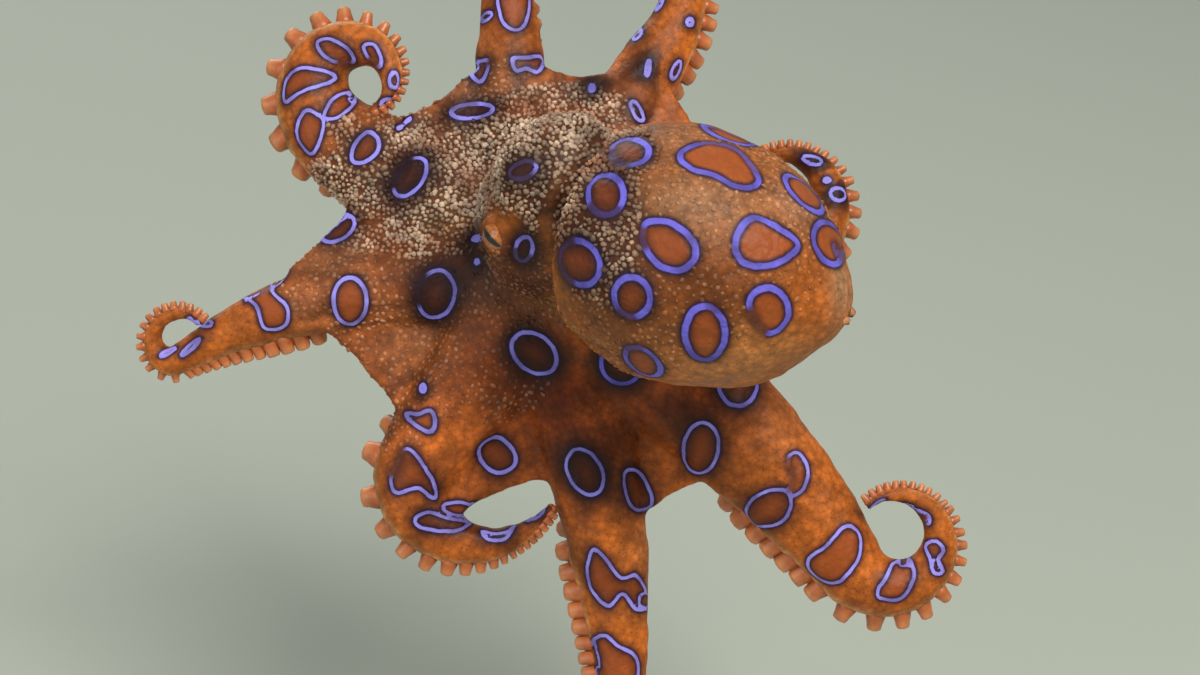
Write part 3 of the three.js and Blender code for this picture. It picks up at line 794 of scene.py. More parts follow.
# %% Rings out of the camera's sight
HIDDEN_SEED = 11
HIDDEN_TRIES = 500
HIDDEN_ROOM = 1.6
HIDDEN_ON_MANTLE = (2.2, 3.6)
HIDDEN_ON_ARMS = (0.9, 2)
HIDDEN_DARK = 0.4
HIDDEN_BLUE = 0.5
PHOTO_EDGES = (-12, 710)
rng = np.random.default_rng(HIDDEN_SEED)
out_of_frame = (seen_at[:, 1] < PHOTO_EDGES[0]) | (seen_at[:, 1] > PHOTO_EDGES[1])
unseen = (facing_eye < -0.1) | out_of_frame
hidden = np.nonzero(unseen & (mouth_side < 0.05) & (course_away < 30))[0]
laid = 0
for _ in range(HIDDEN_TRIES):
    middle = int(rng.choice(hidden))
    size = rng.uniform(*(HIDDEN_ON_MANTLE if on_mantle[middle] > 0.5 else HIDDEN_ON_ARMS))
    size = min(size, 0.5 + 0.05 * max(10, 75 - course_out[middle]))
    offset = points - points[middle]
    members = np.nonzero((np.linalg.norm(offset, axis=1) < size * 1.4 + 3)
                         & (normals @ normals[middle] > 0.1))[0]
    if ring_distance[members].min() < size + HIDDEN_ROOM or mouth_side[members].max() > 0.9:
        continue
    normal = normals[middle]
    flat = offset[members] - np.outer(offset[members] @ normal, normal)
    first = np.cross(normal, rng.normal(size=3))
    first /= np.linalg.norm(first)
    second = np.cross(normal, first)
    radii = np.array([size, size * rng.uniform(0.65, 0.9)])
    spot = np.stack([flat @ first, flat @ second], 1)
    stretch = np.linalg.norm(spot / radii, axis=1)
    distance = (stretch - 1) * np.linalg.norm(spot, axis=1) / np.maximum(stretch, 1e-6)
    line = MANTLE_LINE if on_mantle[middle] > 0.5 else ARM_LINE
    note_ring(members, distance, np.ones(len(members)), HIDDEN_DARK, line, HIDDEN_BLUE)
    laid += 1
print(laid, "rings lie out of sight")

# %% [markdown]
# Under the rings the skin is painted as a model maker does it, with an airbrush: a ground colour for
# each part of the body, and then soft patches, each with its place in the photograph, its half width
# and half height there, a colour and a strength.

# %% The airbrushed ground
def linear(value):
    """An sRGB hex value as the linear colour that shaders use."""
    parts = [(value >> shift & 255) / 255 for shift in (16, 8, 0)]
    return [part / 12.92 if part <= 0.04045 else ((part + 0.055) / 1.055) ** 2.4 for part in parts]


ARM_ORANGE = 0xB4622C
WEB_RUST = 0xA4572A
HEAD_BROWN = 0x86502E
MANTLE_OCHRE = 0xAA6430
MOUTH_CREAM = 0xCB9460
BEAK_BROWN = 0x2A120A
WEB_TONE = (40, 22)
BEAK_EDGE = (1.7, 0.9)
PATCHES = [
    # the web and the arms
    # the dark red-brown patches at 585, 425; 505, 375; 543, 393; 455, 275 and 690, 405 are partly the skin's
    # own colour and partly painted shade: the shadow that the mantle and the head cast on the web
    (585, 425, 90, 60, 0x6C2A10, 0.9), (505, 375, 62, 46, 0x70300F, 0.8),
    (543, 393, 34, 24, 0x4E1404, 0.9), (606, 415, 26, 18, 0xA4542A, 0.85),
    (500, 425, 26, 20, 0xAA5426, 0.8), (455, 275, 62, 34, 0x43190A, 0.9),
    (690, 405, 44, 36, 0x5E2410, 0.8), (335, 255, 55, 45, 0x9A6A48, 0.55),
    (410, 345, 45, 42, 0xA56A42, 0.6), (452, 435, 54, 50, 0xC86C36, 0.9),
    # the pale patch at 642, 540 is painted light: it lightens the side of a lower arm that turns from the
    # lamp
    (642, 540, 14, 60, 0xD07C44, 0.8), (300, 308, 36, 22, 0xC8784A, 0.85),
    (785, 425, 34, 40, 0xCC7640, 0.8),
    # the head and the neck
    (470, 165, 135, 78, 0x76523C, 0.9), (512, 127, 16, 9, 0x2C1A10, 0.9),
    (545, 195, 14, 30, 0x3A2416, 0.7), (600, 130, 34, 14, 0x33241A, 0.85),
    (650, 128, 30, 8, 0x4A3222, 0.7), (440, 218, 24, 22, 0x86683A, 0.7),
    (505, 225, 30, 22, 0xA0561E, 0.85), (497, 252, 14, 9, 0xAE5A20, 0.9),
    # the dark patch at 520, 285 under the head is partly the skin's own colour and partly painted shade, the
    # head's shadow on the web
    (468, 250, 16, 16, 0x1E0806, 0.95), (520, 285, 34, 34, 0x4A2010, 0.85),
    (585, 155, 48, 56, 0x4A3828, 0.85), (560, 215, 22, 30, 0x2E1A12, 0.8),
    # the mantle
    (690, 205, 66, 32, 0xB58662, 0.75), (800, 205, 34, 30, 0xAE8266, 0.75),
    (610, 245, 44, 90, 0x543220, 0.9), (690, 285, 62, 46, 0x743C18, 0.75),
    (820, 300, 44, 52, 0xB4602A, 0.8), (745, 362, 74, 36, 0xC27E4A, 0.9),
    (842, 285, 14, 34, 0xB88C68, 0.8), (725, 295, 26, 34, 0x6E3C1C, 0.6),
    (575, 232, 26, 40, 0x3C2418, 0.7), (555, 298, 8, 26, 0xC08A50, 0.85),
    (572, 330, 14, 9, 0xC08A50, 0.85), (596, 341, 13, 6, 0xC08A50, 0.7),
    # the upper web and the dark saddle
    (480, 75, 74, 26, 0x94603E, 0.7), (600, 84, 26, 14, 0x1E120C, 0.95),
    (640, 68, 13, 12, 0x1E120C, 0.9), (690, 136, 70, 24, 0x8A6042, 0.5),
]

ground = np.tile(linear(ARM_ORANGE), (len(points), 1))


def airbrush(colour, strength):
    ground[:] += (np.array(linear(colour)) - ground) * strength[:, None]


airbrush(WEB_RUST, ramp(np.linalg.norm(points, axis=1), *WEB_TONE))
airbrush(HEAD_BROWN, on_head)
airbrush(MANTLE_OCHRE, on_mantle)
for across, down, wide, high, colour, strength in PATCHES:
    middle = np.array(on_skin(across, down))
    away = (points - middle) * PIXELS_PER_MM / np.array([wide, (wide + high) / 2, high])
    airbrush(colour, strength * np.exp(-(away**2).sum(1)) * (1 - mouth_side))
airbrush(MOUTH_CREAM, mouth_side * 0.85)
airbrush(BEAK_BROWN, ramp(np.hypot(points[:, 0], points[:, 2]), *BEAK_EDGE) * (points[:, 1] > 0))
print("the ground has", len(PATCHES), "airbrushed patches")

# %% [markdown]
# The head and the upper web are cobbled with papillae, small soft bumps that the animal can raise. They
# are real bumps here, not only a pattern, because they catch the light from every side. Five low,
# uneven domes of few faces are set out thousands of times over the skin, closer than they are wide,
# with a random turn, lean, size and height. Six larger ones roughen the mantle's point.

# %% Where papillae stand
ZONE_EDGE = (1.3, 0.85)
EYE_CLEAR = (2.9, 3.6)
GRAIN_ZONES = [
    (430, 172, 95, 56), (520, 152, 95, 56), (370, 195, 62, 52), (425, 232, 66, 26),
    (560, 110, 70, 24), (345, 128, 16, 14), (560, 200, 40, 40),
]
MANTLE_GRAIN_ZONES = [(600, 220, 40, 80), (625, 150, 30, 26)]
FINE_ZONES = [
    (410, 325, 75, 66), (330, 275, 60, 40), (470, 85, 60, 24), (480, 370, 60, 50), (400, 395, 40, 50),
    (510, 290, 42, 42), (350, 128, 30, 26),
]
MANTLE_FINE_ZONES = [(700, 235, 120, 90), (640, 310, 70, 60)]


def zone_strength(zones, part):
    """How strongly each point lies in a few ovals of the photograph, on one part of the body."""
    strength = np.zeros(len(points))
    for across, down, wide, high in zones:
        away = np.linalg.norm((seen_at - (across, down)) / (wide, high), axis=1)
        strength = np.maximum(strength, ramp(away, *ZONE_EDGE))
    return strength * part * ramp(facing_eye, -0.35, 0)


off_mantle = (1 - on_mantle) * (1 - mouth_side)
grain = zone_strength(GRAIN_ZONES, off_mantle) + zone_strength(MANTLE_GRAIN_ZONES, on_mantle)
fine_grain = zone_strength(FINE_ZONES, off_mantle) + zone_strength(MANTLE_FINE_ZONES, on_mantle)
fine_grain *= 1 - grain
eye_gaps = (np.linalg.norm(points - np.array(eye_centre(side)), axis=1) for side in (1, -1))
grain *= ramp(np.minimum(*eye_gaps), *EYE_CLEAR)
print("papillae cover", round(float((grain > 0.3).mean()) * 100), "% of the skin")

# %% Setting out many small pieces
PAPILLA_ROOM = 0.47
FINE_ROOM = 0.72
PAPILLA_SEED = 5
CLUMP_MM = 4
DOME_KINDS = 5
RING_ROOM = 0.45
DOME_ROUGH = 0.13
DOME_LEAN = 0.16
END_BUMPS = [
    (849, 240, 0.6), (853, 262, 0.7), (853, 284, 0.7), (853, 302, 1.1), (850, 312, 0.7), (845, 321, 0.6),
]


def set_out(name, templates, places):
    """Copies of a few small meshes, taken in turn, at many places, joined in one object."""
    joined = bmesh.new()
    for i, place in enumerate(places):
        piece = templates[i % len(templates)].copy()
        piece.transform(place)
        joined.from_mesh(piece)
        bpy.data.meshes.remove(piece)
    return finished(name, joined, face_out=False)


def upright(point, normal, radii, turn):
    """A place on the skin, with its z along the normal."""
    stand = Vector((0, 0, 1)).rotation_difference(normal).to_matrix().to_4x4()
    return (Matrix.Translation(point) @ stand @ Matrix.Rotation(turn, 4, "Z")
            @ Matrix.Diagonal((*radii, 1)))


rng = np.random.default_rng(PAPILLA_SEED)
clumps = np.array([noise.noise(place) for place in (points / CLUMP_MM).tolist()])
chance = np.maximum(grain * (1 - 0.35 * on_mantle), fine_grain * 0.6)
chance *= np.clip(1 + 1.5 * clumps, 0.3, 1.5)
chance[(ring_distance < ring_line + RING_ROOM) | (facing_eye < -0.6)] = 0
taken = {}
papillae = []
spots = []
for i in rng.permutation(np.nonzero(chance > 0.12)[0]):
    if rng.random() > chance[i] * 1.3:
        continue
    room = PAPILLA_ROOM if grain[i] > 0.3 else FINE_ROOM
    spot = surface.find_nearest(Vector(points[i] + rng.uniform(-VOXEL, VOXEL, 3) / 2))[0]
    cell = tuple(math.floor(value / FINE_ROOM) for value in spot)
    around = [taken.get((cell[0] + x, cell[1] + y, cell[2] + z), ())
              for x in (-1, 0, 1) for y in (-1, 0, 1) for z in (-1, 0, 1)]
    if any((spot - other).length < room for others in around for other in others):
        continue
    taken.setdefault(cell, []).append(spot)
    papillae.append(i)
    spots.append(spot)

domes = []
for _ in range(DOME_KINDS):
    bm = bmesh.new()
    bmesh.ops.create_uvsphere(bm, u_segments=7, v_segments=4, radius=1)
    bmesh.ops.delete(bm, geom=[v for v in bm.verts if v.co.z < -0.1], context="VERTS")
    dome_high = [v.co.z for v in bm.verts]
    for v in bm.verts:
        v.co += Vector(rng.normal(scale=DOME_ROUGH, size=3))
    domes.append(as_mesh("dome", bm, face_out=False))
places = []
for i, spot in zip(papillae, spots):
    size = rng.uniform(0.24, 0.44) * (1 if grain[i] > 0.3 else 0.85)
    high = rng.uniform(0.24, 0.46) * (0.35 + 0.65 * grain[i])
    lean = Vector(rng.normal(scale=DOME_LEAN, size=3))
    normal = (Vector(normals[i].tolist()) + lean).normalized()
    radii = (size, size * rng.uniform(0.7, 1.3), high)
    places.append(upright(spot, normal, radii, rng.uniform(0, math.tau)))
for across, down, size in END_BUMPS:
    spot = on_skin(across, down)
    i = int(np.linalg.norm(points - np.array(spot), axis=1).argmin())
    papillae.append(i)
    places.append(upright(spot, Vector(normals[i].tolist()), (size, size, size), 0))
papilla_field = set_out("octopus_papillae", domes, places)
print(len(papillae), "papillae,", len(papilla_field.data.polygons), "faces")

# %% Paint on the skin and its papillae
def paint(made, name, values):
    """Keeps numbers, or colours, on the points of a mesh for its material to read."""
    values = np.asarray(values, np.float32)
    if values.ndim == 1:
        made.data.attributes.new(name, "FLOAT", "POINT").data.foreach_set("value", values)
    else:
        colours = np.concatenate([values, np.ones((len(values), 1), np.float32)], 1)
        made.data.attributes.new(name, "FLOAT_COLOR", "POINT").data.foreach_set("color", colours.ravel())


BEIGE = 0xCDB49C
STREAKS = 13
STREAK_START = 15
STREAK_END = 41
reach = np.hypot(points[:, 0], points[:, 2])
bearing = np.arctan2(points[:, 2], points[:, 0])
streak = np.array([noise.noise(Vector((math.cos(a) * STREAKS, math.sin(a) * STREAKS, r * 0.08)))
                   for a, r in zip(bearing, reach)])
streak = np.clip(streak * 2.4, -1, 1) * ramp(reach, STREAK_START, STREAK_START + 6)
streak *= ramp(reach, STREAK_END, STREAK_END - 8) * (1 - on_mantle) * (1 - on_head) * (1 - grain)
roots = np.repeat(papillae, len(dome_high))
top = np.tile(np.clip(dome_high, 0, 1), len(papillae))
shade = np.repeat(rng.uniform(0.6, 1.25, len(papillae)), len(dome_high))
share = np.clip(grain[papillae] * 1.1, 0.3, 1) * np.clip(0.75 + 1.2 * clumps[papillae], 0.3, 1)
share *= 1 - 0.35 * on_mantle[papillae]
share = np.repeat(share * rng.uniform(0.6, 1, len(papillae)), len(dome_high))
tops = ground[roots] + (np.array(linear(BEIGE)) * shade[:, None] - ground[roots]) * share[:, None]
painted = {"ring": np.clip(ring_distance, -FAR, FAR), "lit": ring_lit, "dark": ring_dark,
           "line": ring_line, "blue": ring_blue, "streak": streak,
           "grain": np.maximum(grain, 0.5 * fine_grain)}
for made, members, colours, cap in (
    (skin, slice(None), ground * (1 - 0.2 * grain[:, None]), np.zeros(len(points))),
    (papilla_field, roots, tops, top),
):
    paint(made, "ground", colours)
    paint(made, "cap", cap)
    for name, values in painted.items():
        paint(made, name, values[members])
print("the skin and its papillae carry", len(painted) + 2, "painted values")

# %% [markdown]
# The suckers stand in two rows on the mouth side of each arm, from near the mouth to the tip. Past the
# edge of the web the arm rolls over, so they show from outside as the teeth along its edge. Each is a
# stalk with a cup: one circle pulled up, widened, and folded in again.

# %% A sucker
SUCKER_FACETS = 8
SUCKER_RINGS = [(1.3, 0), (1.12, 0.4), (0.92, 0.7), (0.88, 0.85), (0.78, 0.96), (0.58, 1),
                (0.38, 0.94), (0.24, 0.85)]
SUCKER_FIRST = 7
SUCKER_PITCH = 0.54
PITCH_RANGE = (0.9, 2.7)
SUCKER_WIDE = 0.54
SUCKER_HIGH = 0.95
SUCKER_TALLEST = 1.75
SUCKER_SUNK = 0.5
SUCKER_LEAN = 0.05
SUCKER_SEED = 7
ROW_TURN = math.radians(22)


def sucker_mesh():
    bm = bmesh.new()
    radius, high = SUCKER_RINGS[0]
    ring = bmesh.ops.create_circle(bm, cap_ends=True, segments=SUCKER_FACETS, radius=radius)["verts"]
    edges = list({edge for v in ring for edge in v.link_edges})
    for new_radius, new_high in SUCKER_RINGS[1:]:
        verts, edges = pull(bm, edges)
        scale = new_radius / radius
        bmesh.ops.scale(bm, vec=(scale, scale, 1), verts=verts)
        bmesh.ops.translate(bm, vec=(0, 0, new_high - high), verts=verts)
        radius, high = new_radius, new_high
    bmesh.ops.contextual_create(bm, geom=edges)
    heights = [v.co.z for v in bm.verts]
    spread = [v.co.xy.length for v in bm.verts]
    return as_mesh("sucker", bm), heights, spread


sucker, sucker_heights, sucker_spread = sucker_mesh()
print("a sucker has", len(sucker.polygons), "faces")

# %% The suckers of each arm
sucker_rows = []
rng = np.random.default_rng(SUCKER_SEED)
for arm in arms:
    places = []
    distance = SUCKER_FIRST
    row = 1
    while distance < arm["length"] - 0.4:
        wide, deep = arm_size(arm, distance)
        pitch = min(max(SUCKER_PITCH * wide, PITCH_RANGE[0]), PITCH_RANGE[1])
        point, along, across, under = arm_frame(arm, distance)
        turn = sucker_turn(arm, distance) + ROW_TURN * row
        out = across * -arm["side"]
        point = point + under * deep * math.cos(turn) + out * wide * math.sin(turn)
        looks = (under * math.cos(turn) / deep + out * math.sin(turn) / wide).normalized()
        looks = (looks + Vector(rng.normal(scale=SUCKER_LEAN, size=3))).normalized()
        radius = pitch * SUCKER_WIDE * rng.uniform(0.92, 1.08)
        sunk = SUCKER_SUNK * pitch
        high = min(SUCKER_HIGH * pitch, SUCKER_TALLEST) + sunk
        places.append(upright(point - looks * sunk, looks, (radius, radius, high), rng.uniform(0, 1)))
        distance += pitch / 2
        row = -row
    made = set_out("suckers_" + arm["name"], [sucker], places)
    paint(made, "high", np.tile(sucker_heights, len(places)))
    paint(made, "spread", np.tile(sucker_spread, len(places)))
    sucker_rows.append(made)
print(sum(len(made.data.polygons) for made in sucker_rows), "faces of suckers")

# %% [markdown]
# The eye is a ball under its lids. Its pupil is a dark, level slit in a gold iris. The ball's points
# carry how far they lie along the slit and across it, so the material can draw both.

# %% The eyes
eyes = []
for side, name in ((1, "eyeball_left"), (-1, "eyeball_right")):
    bm = bmesh.new()
    slit, across, look = eye_axes(side)
    place = axes_matrix(eye_centre(side), (slit, across, look), (EYE_RADIUS,) * 3)
    bmesh.ops.create_uvsphere(bm, u_segments=48, v_segments=32, radius=1, matrix=place)
    made = finished(name, bm)
    local = coords(made) - np.array(eye_centre(side))
    for value, axis in (("along_slit", slit), ("across_slit", across), ("outwards", look)):
        paint(made, value, local @ np.array(axis))
    eyes.append(made)
print("the eyes are", EYE_RADIUS * 2, "mm across")

# %% Place everything in the frame
pieces = [skin, papilla_field] + sucker_rows + eyes
for made in pieces:
    made.data.transform(crown_place)
    made.data.polygons.foreach_set("use_smooth", [True] * len(made.data.polygons))
    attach(made, "root")
flesh = [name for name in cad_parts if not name.startswith(("stand_", "eye_"))]
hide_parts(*flesh)
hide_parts("eye_left")
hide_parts("eye_right")
print(len(pieces), "pieces ride on the frame")

# %% [markdown]
# Each finish is built from what the real one is. One small function adds a node with its settings and
# links, and gives the output that the next node takes. The scales of the patterns are real millimetres.

# %% Nodes and colours
def feed(node, inputs):
    """Sets a node's inputs, or links those whose value comes from another node."""
    for key, value in inputs.items():
        if isinstance(value, bpy.types.NodeSocket):
            node.id_data.links.new(value, node.inputs[key])
        else:
            node.inputs[key].default_value = value


def add(tree, kind, inputs=None, out=None, **settings):
    """Adds a shader node with its settings and inputs, and gives its output out, or its first."""
    node = tree.nodes.new("ShaderNode" + kind)
    for name, value in settings.items():
        setattr(node, name, value)
    feed(node, inputs or {})
    return node.outputs[out] if out else next(socket for socket in node.outputs if socket.enabled)


def colour(value):
    return (*linear(value), 1)


def new_material(name, inputs):
    """A material with its constant values on the shader's own sockets."""
    made = bpy.data.materials.new(name)
    made.use_nodes = True
    shader = made.node_tree.nodes["Principled BSDF"]
    feed(shader, inputs)
    return made, made.node_tree, shader


# %% [markdown]
# Octopus skin is thin, moist and full of colour cells: tiny bags of brown and red ink that the animal
# opens and shuts. Close to, the brown is a fine pepper over orange. The skin is soft and lets some
# light through, and its wetness gives a broad, dull shine.

# %% Moist skin with colour cells and rings
PEPPER_MM = 0.5
SHAGREEN_MM = 0.95
MOTTLE_MM = 3.2
CREASE_MM = 0.45
INK_BROWN = 0x431B0C
PATCH_BROWN = 0x9C4A1C
PATCH_DARK = 0x42120A
HALO_BROWN = 0x240B07
EDGE_NAVY = 0x140A2C
EDGE_MM = 0.6
GLINT_MM = 3.5
WOBBLE_MM = 1.4
LINE_LAVENDER = 0x9A90E6
LINE_BLUE = 0x544AC2


def moist_skin():
    """Soft, wet skin with an orange to brown ground, fine ink cells and blue reflecting rings."""
    made, tree, shader = new_material("moist octopus skin", {
        "Subsurface Weight": 0.1, "Subsurface Scale": 0.7 * MM, "Subsurface Radius": (1, 0.4, 0.25),
        "Coat Weight": 0.03, "Coat Roughness": 0.25, "Specular IOR Level": 0.2})
    place = add(tree, "TexCoord", out="Object")
    read = {name: add(tree, "Attribute", out="Fac", attribute_name=name)
            for name in ("ring", "lit", "dark", "line", "blue", "cap", "grain")}
    ground = add(tree, "Attribute", out="Color", attribute_name="ground")

    mottle = add(tree, "TexNoise", {"Vector": place, "Scale": 1 / (MOTTLE_MM * MM), "Detail": 5,
                                    "Roughness": 0.65})
    bright = add(tree, "MapRange", {0: mottle, 1: 0.3, 2: 0.7, 3: 0.58, 4: 1.4})
    cells = add(tree, "TexVoronoi", {"Vector": place, "Scale": 1 / (SHAGREEN_MM * MM)})
    pebble = add(tree, "MapRange", {0: cells, 1: 0.1, 2: 0.75, 3: 1.16, 4: 0.74})
    bright = add(tree, "Math", {0: bright, 1: pebble}, operation="MULTIPLY")
    streak = add(tree, "Attribute", out="Fac", attribute_name="streak")
    streak = add(tree, "MapRange", {0: streak, 1: -1, 2: 1, 3: 0.62, 4: 1.3})
    bright = add(tree, "Math", {0: bright, 1: streak}, operation="MULTIPLY")
    ground = add(tree, "HueSaturation", {"Color": ground, "Value": bright, "Saturation": 1.03})
    pepper = add(tree, "TexVoronoi", {"Vector": place, "Scale": 1 / (PEPPER_MM * MM)})
    dots = add(tree, "MapRange", {0: pepper, 1: 0.38, 2: 0.1, 3: 0, 4: 0.42},
               interpolation_type="SMOOTHSTEP")
    caps = add(tree, "MapRange", {0: read["cap"], 1: 0.1, 2: 0.6, 3: 1, 4: 0.35})
    dots = add(tree, "Math", {0: dots, 1: caps}, operation="MULTIPLY")
    ground = add(tree, "Mix", {0: dots, 6: ground, 7: colour(INK_BROWN)}, data_type="RGBA")
    foot = add(tree, "MapRange", {0: read["cap"], 1: 0.55, 2: 0.05, 3: 0, 4: 0.5})
    foot = add(tree, "Math", {0: foot, 1: read["grain"]}, operation="MULTIPLY")
    ground = add(tree, "Mix", {0: foot, 6: ground, 7: colour(INK_BROWN)}, data_type="RGBA")

    wobble = add(tree, "TexNoise", {"Vector": place, "Scale": 1 / (WOBBLE_MM * MM)})
    shift = add(tree, "MapRange", {0: wobble, 3: -0.16, 4: 0.16})
    ring = add(tree, "Math", {0: read["ring"], 1: shift}, operation="ADD")
    away = add(tree, "Math", {0: ring}, operation="ABSOLUTE")
    patch = add(tree, "Mix", {0: read["dark"], 6: colour(PATCH_BROWN), 7: colour(PATCH_DARK)},
                data_type="RGBA")
    within = add(tree, "MapRange", {0: ring, 1: 0.2, 2: -0.7, 3: 0, 4: 0.8},
                 interpolation_type="SMOOTHSTEP")
    skin_colour = add(tree, "Mix", {0: within, 6: ground, 7: patch}, data_type="RGBA")
    halo_wide = add(tree, "MapRange", {0: read["dark"], 3: 1, 4: 3.6})
    halo = add(tree, "MapRange", {0: away, 1: halo_wide, 2: read["line"], 3: 0, 4: 1},
               interpolation_type="SMOOTHSTEP")
    halo_strong = add(tree, "MapRange", {0: read["dark"], 3: 0.35, 4: 1})
    halo = add(tree, "Math", {0: halo, 1: halo_strong}, operation="MULTIPLY")
    skin_colour = add(tree, "Mix", {0: halo, 6: skin_colour, 7: colour(HALO_BROWN)},
                      data_type="RGBA")
    edge_wide = add(tree, "Math", {0: read["line"], 1: EDGE_MM}, operation="ADD")
    edge = add(tree, "MapRange", {0: away, 1: edge_wide, 2: read["line"], 3: 0, 4: 0.9},
               interpolation_type="SMOOTHSTEP")
    # edge_lit and lit carry the painted light and shade of the ring's line into its navy edge and into the
    # line itself
    edge_lit = add(tree, "MapRange", {0: read["lit"], 3: 0.3, 4: 1})
    edge = add(tree, "Math", {0: edge, 1: edge_lit}, operation="MULTIPLY")
    skin_colour = add(tree, "Mix", {0: edge, 6: skin_colour, 7: colour(EDGE_NAVY)}, data_type="RGBA")
    share = add(tree, "Math", {0: away, 1: read["line"]}, operation="DIVIDE")
    line = add(tree, "MapRange", {0: share, 1: 1.2, 2: 0.75, 3: 0, 4: 1},
               interpolation_type="SMOOTHSTEP")
    line = add(tree, "Math", {0: line, 1: read["lit"]}, operation="MULTIPLY")
    # glint is a painted glint: lighter stretches along the reflecting line of each ring
    glint = add(tree, "TexNoise", {"Vector": place, "Scale": 1 / (GLINT_MM * MM), "Detail": 1})
    glint = add(tree, "MapRange", {0: glint, 1: 0.36, 2: 0.58, 3: 0.5, 4: 1})
    line = add(tree, "Math", {0: line, 1: glint}, operation="MULTIPLY")
    glow = add(tree, "Mix", {0: read["blue"], 6: colour(LINE_LAVENDER), 7: colour(LINE_BLUE)},
               data_type="RGBA")
    skin_colour = add(tree, "Mix", {0: line, 6: skin_colour, 7: glow}, data_type="RGBA")

    rough = add(tree, "MapRange", {0: mottle, 1: 0.3, 2: 0.7, 3: 0.42, 4: 0.6})
    crease = add(tree, "TexNoise", {"Vector": place, "Scale": 1 / (CREASE_MM * MM), "Detail": 3})
    relief = add(tree, "Bump", {"Height": crease, "Strength": 0.35, "Distance": 0.25 * MM})
    relief = add(tree, "Bump", {"Height": cells, "Strength": 0.4, "Distance": 0.3 * MM, "Normal": relief},
                 invert=True)
    feed(shader, {"Base Color": skin_colour, "Roughness": rough, "Normal": relief})
    return made


skin_finish = moist_skin()
skin.data.materials.append(skin_finish)
papilla_field.data.materials.append(skin_finish)
print("the skin material has", len(skin_finish.node_tree.nodes), "nodes")

# %% [markdown]
# Suckers are firm, half clear flesh: amber on the stalk, with a paler rim and a darker cup.

# %% Amber sucker flesh
SUCKER_AMBER = 0xAC5A2A
SUCKER_RIM = 0xBE7C4C
SUCKER_CUP = 0x8A4622
SUCKER_MOTTLE_MM = 1.8
SUCKER_CREASE_MM = 0.3


def sucker_flesh():
    """Half clear amber flesh, which glows a little where light comes through the rim."""
    made, tree, shader = new_material("amber sucker flesh", {
        "Subsurface Weight": 0.25, "Subsurface Scale": 0.9 * MM, "Subsurface Radius": (1, 0.5, 0.25),
        "Roughness": 0.4, "Coat Weight": 0.15, "Coat Roughness": 0.2})
    place = add(tree, "TexCoord", out="Object")
    high = add(tree, "Attribute", out="Fac", attribute_name="high")
    spread = add(tree, "Attribute", out="Fac", attribute_name="spread")
    rim = add(tree, "MapRange", {0: high, 1: 0.45, 2: 1, 3: 0, 4: 1})
    flesh_colour = add(tree, "Mix", {0: rim, 6: colour(SUCKER_AMBER), 7: colour(SUCKER_RIM)},
                       data_type="RGBA")
    cup = add(tree, "MapRange", {0: spread, 1: 0.7, 2: 0.35, 3: 0, 4: 1})
    flesh_colour = add(tree, "Mix", {0: cup, 6: flesh_colour, 7: colour(SUCKER_CUP)},
                       data_type="RGBA")
    mottle = add(tree, "TexNoise", {"Vector": place, "Scale": 1 / (SUCKER_MOTTLE_MM * MM), "Detail": 3})
    bright = add(tree, "MapRange", {0: mottle, 1: 0.3, 2: 0.7, 3: 0.75, 4: 1.25})
    flesh_colour = add(tree, "HueSaturation", {"Color": flesh_colour, "Value": bright})
    crease = add(tree, "TexNoise", {"Vector": place, "Scale": 1 / (SUCKER_CREASE_MM * MM), "Detail": 2})
    relief = add(tree, "Bump", {"Height": crease, "Strength": 0.3, "Distance": 0.12 * MM})
    feed(shader, {"Base Color": flesh_colour, "Normal": relief})
    return made


sucker_finish = sucker_flesh()
for made in sucker_rows:
    made.data.materials.append(sucker_finish)

# %% Wet eye
IRIS_GOLD = 0xB4691F
IRIS_AMBER = 0x84461A
IRIS_RIM = 0x4A2412
PUPIL = 0x050404
IRIS_GRAIN_MM = 0.35
IRIS_EDGE_MM = (1.7, 1.2)
SLIT_LONG = 1.7
SLIT_HIGH = 0.42


def wet_eye():
    """A gold iris with fine rays, a level black slit, and the wet gloss of a clear lens."""
    made, tree, shader = new_material("wet eye", {
        "Roughness": 0.3, "Coat Weight": 0.5, "Coat Roughness": 0.05})
    read = {name: add(tree, "Attribute", out="Fac", attribute_name=name)
            for name in ("along_slit", "across_slit", "outwards")}
    place = add(tree, "TexCoord", out="Object")
    grain = add(tree, "TexNoise", {"Vector": place, "Scale": 1 / (IRIS_GRAIN_MM * MM), "Detail": 4})
    gold = add(tree, "MapRange", {0: grain, 1: 0.35, 2: 0.65})
    iris = add(tree, "Mix", {0: gold, 6: colour(IRIS_AMBER), 7: colour(IRIS_GOLD)}, data_type="RGBA")
    rim = add(tree, "MapRange", {0: read["outwards"], 1: IRIS_EDGE_MM[0], 2: IRIS_EDGE_MM[1]})
    iris = add(tree, "Mix", {0: rim, 6: iris, 7: colour(IRIS_RIM)}, data_type="RGBA")
    far = add(tree, "Math", {0: read["along_slit"], 1: 1 / SLIT_LONG}, operation="MULTIPLY")
    far = add(tree, "Math", {0: far, 1: 2}, operation="POWER")
    off = add(tree, "Math", {0: read["across_slit"], 1: 1 / SLIT_HIGH}, operation="MULTIPLY")
    off = add(tree, "Math", {0: off, 1: 2}, operation="POWER")
    size = add(tree, "Math", {0: far, 1: off}, operation="ADD")
    slit = add(tree, "MapRange", {0: size, 1: 1.15, 2: 0.85})
    eye_colour = add(tree, "Mix", {0: slit, 6: iris, 7: colour(PUPIL)}, data_type="RGBA")
    feed(shader, {"Base Color": eye_colour})
    return made


eye_finish = wet_eye()
for made in eyes:
    made.data.materials.append(eye_finish)

# %% [markdown]
# The stand is a cast resin disc and a brushed steel rod. Both are plain, so that the animal is what one
# sees.

# %% Cast resin and brushed steel
RESIN_STONE = 0xD3D0C6
RESIN_FLECK = 0x9E9A8E
FLECK_MM = 0.6
STEEL_DARK = 0x8F9194
STEEL_BRIGHT = 0xB9BBBD
BRUSH_MM = 0.15
BRUSH_LONG = 0.04


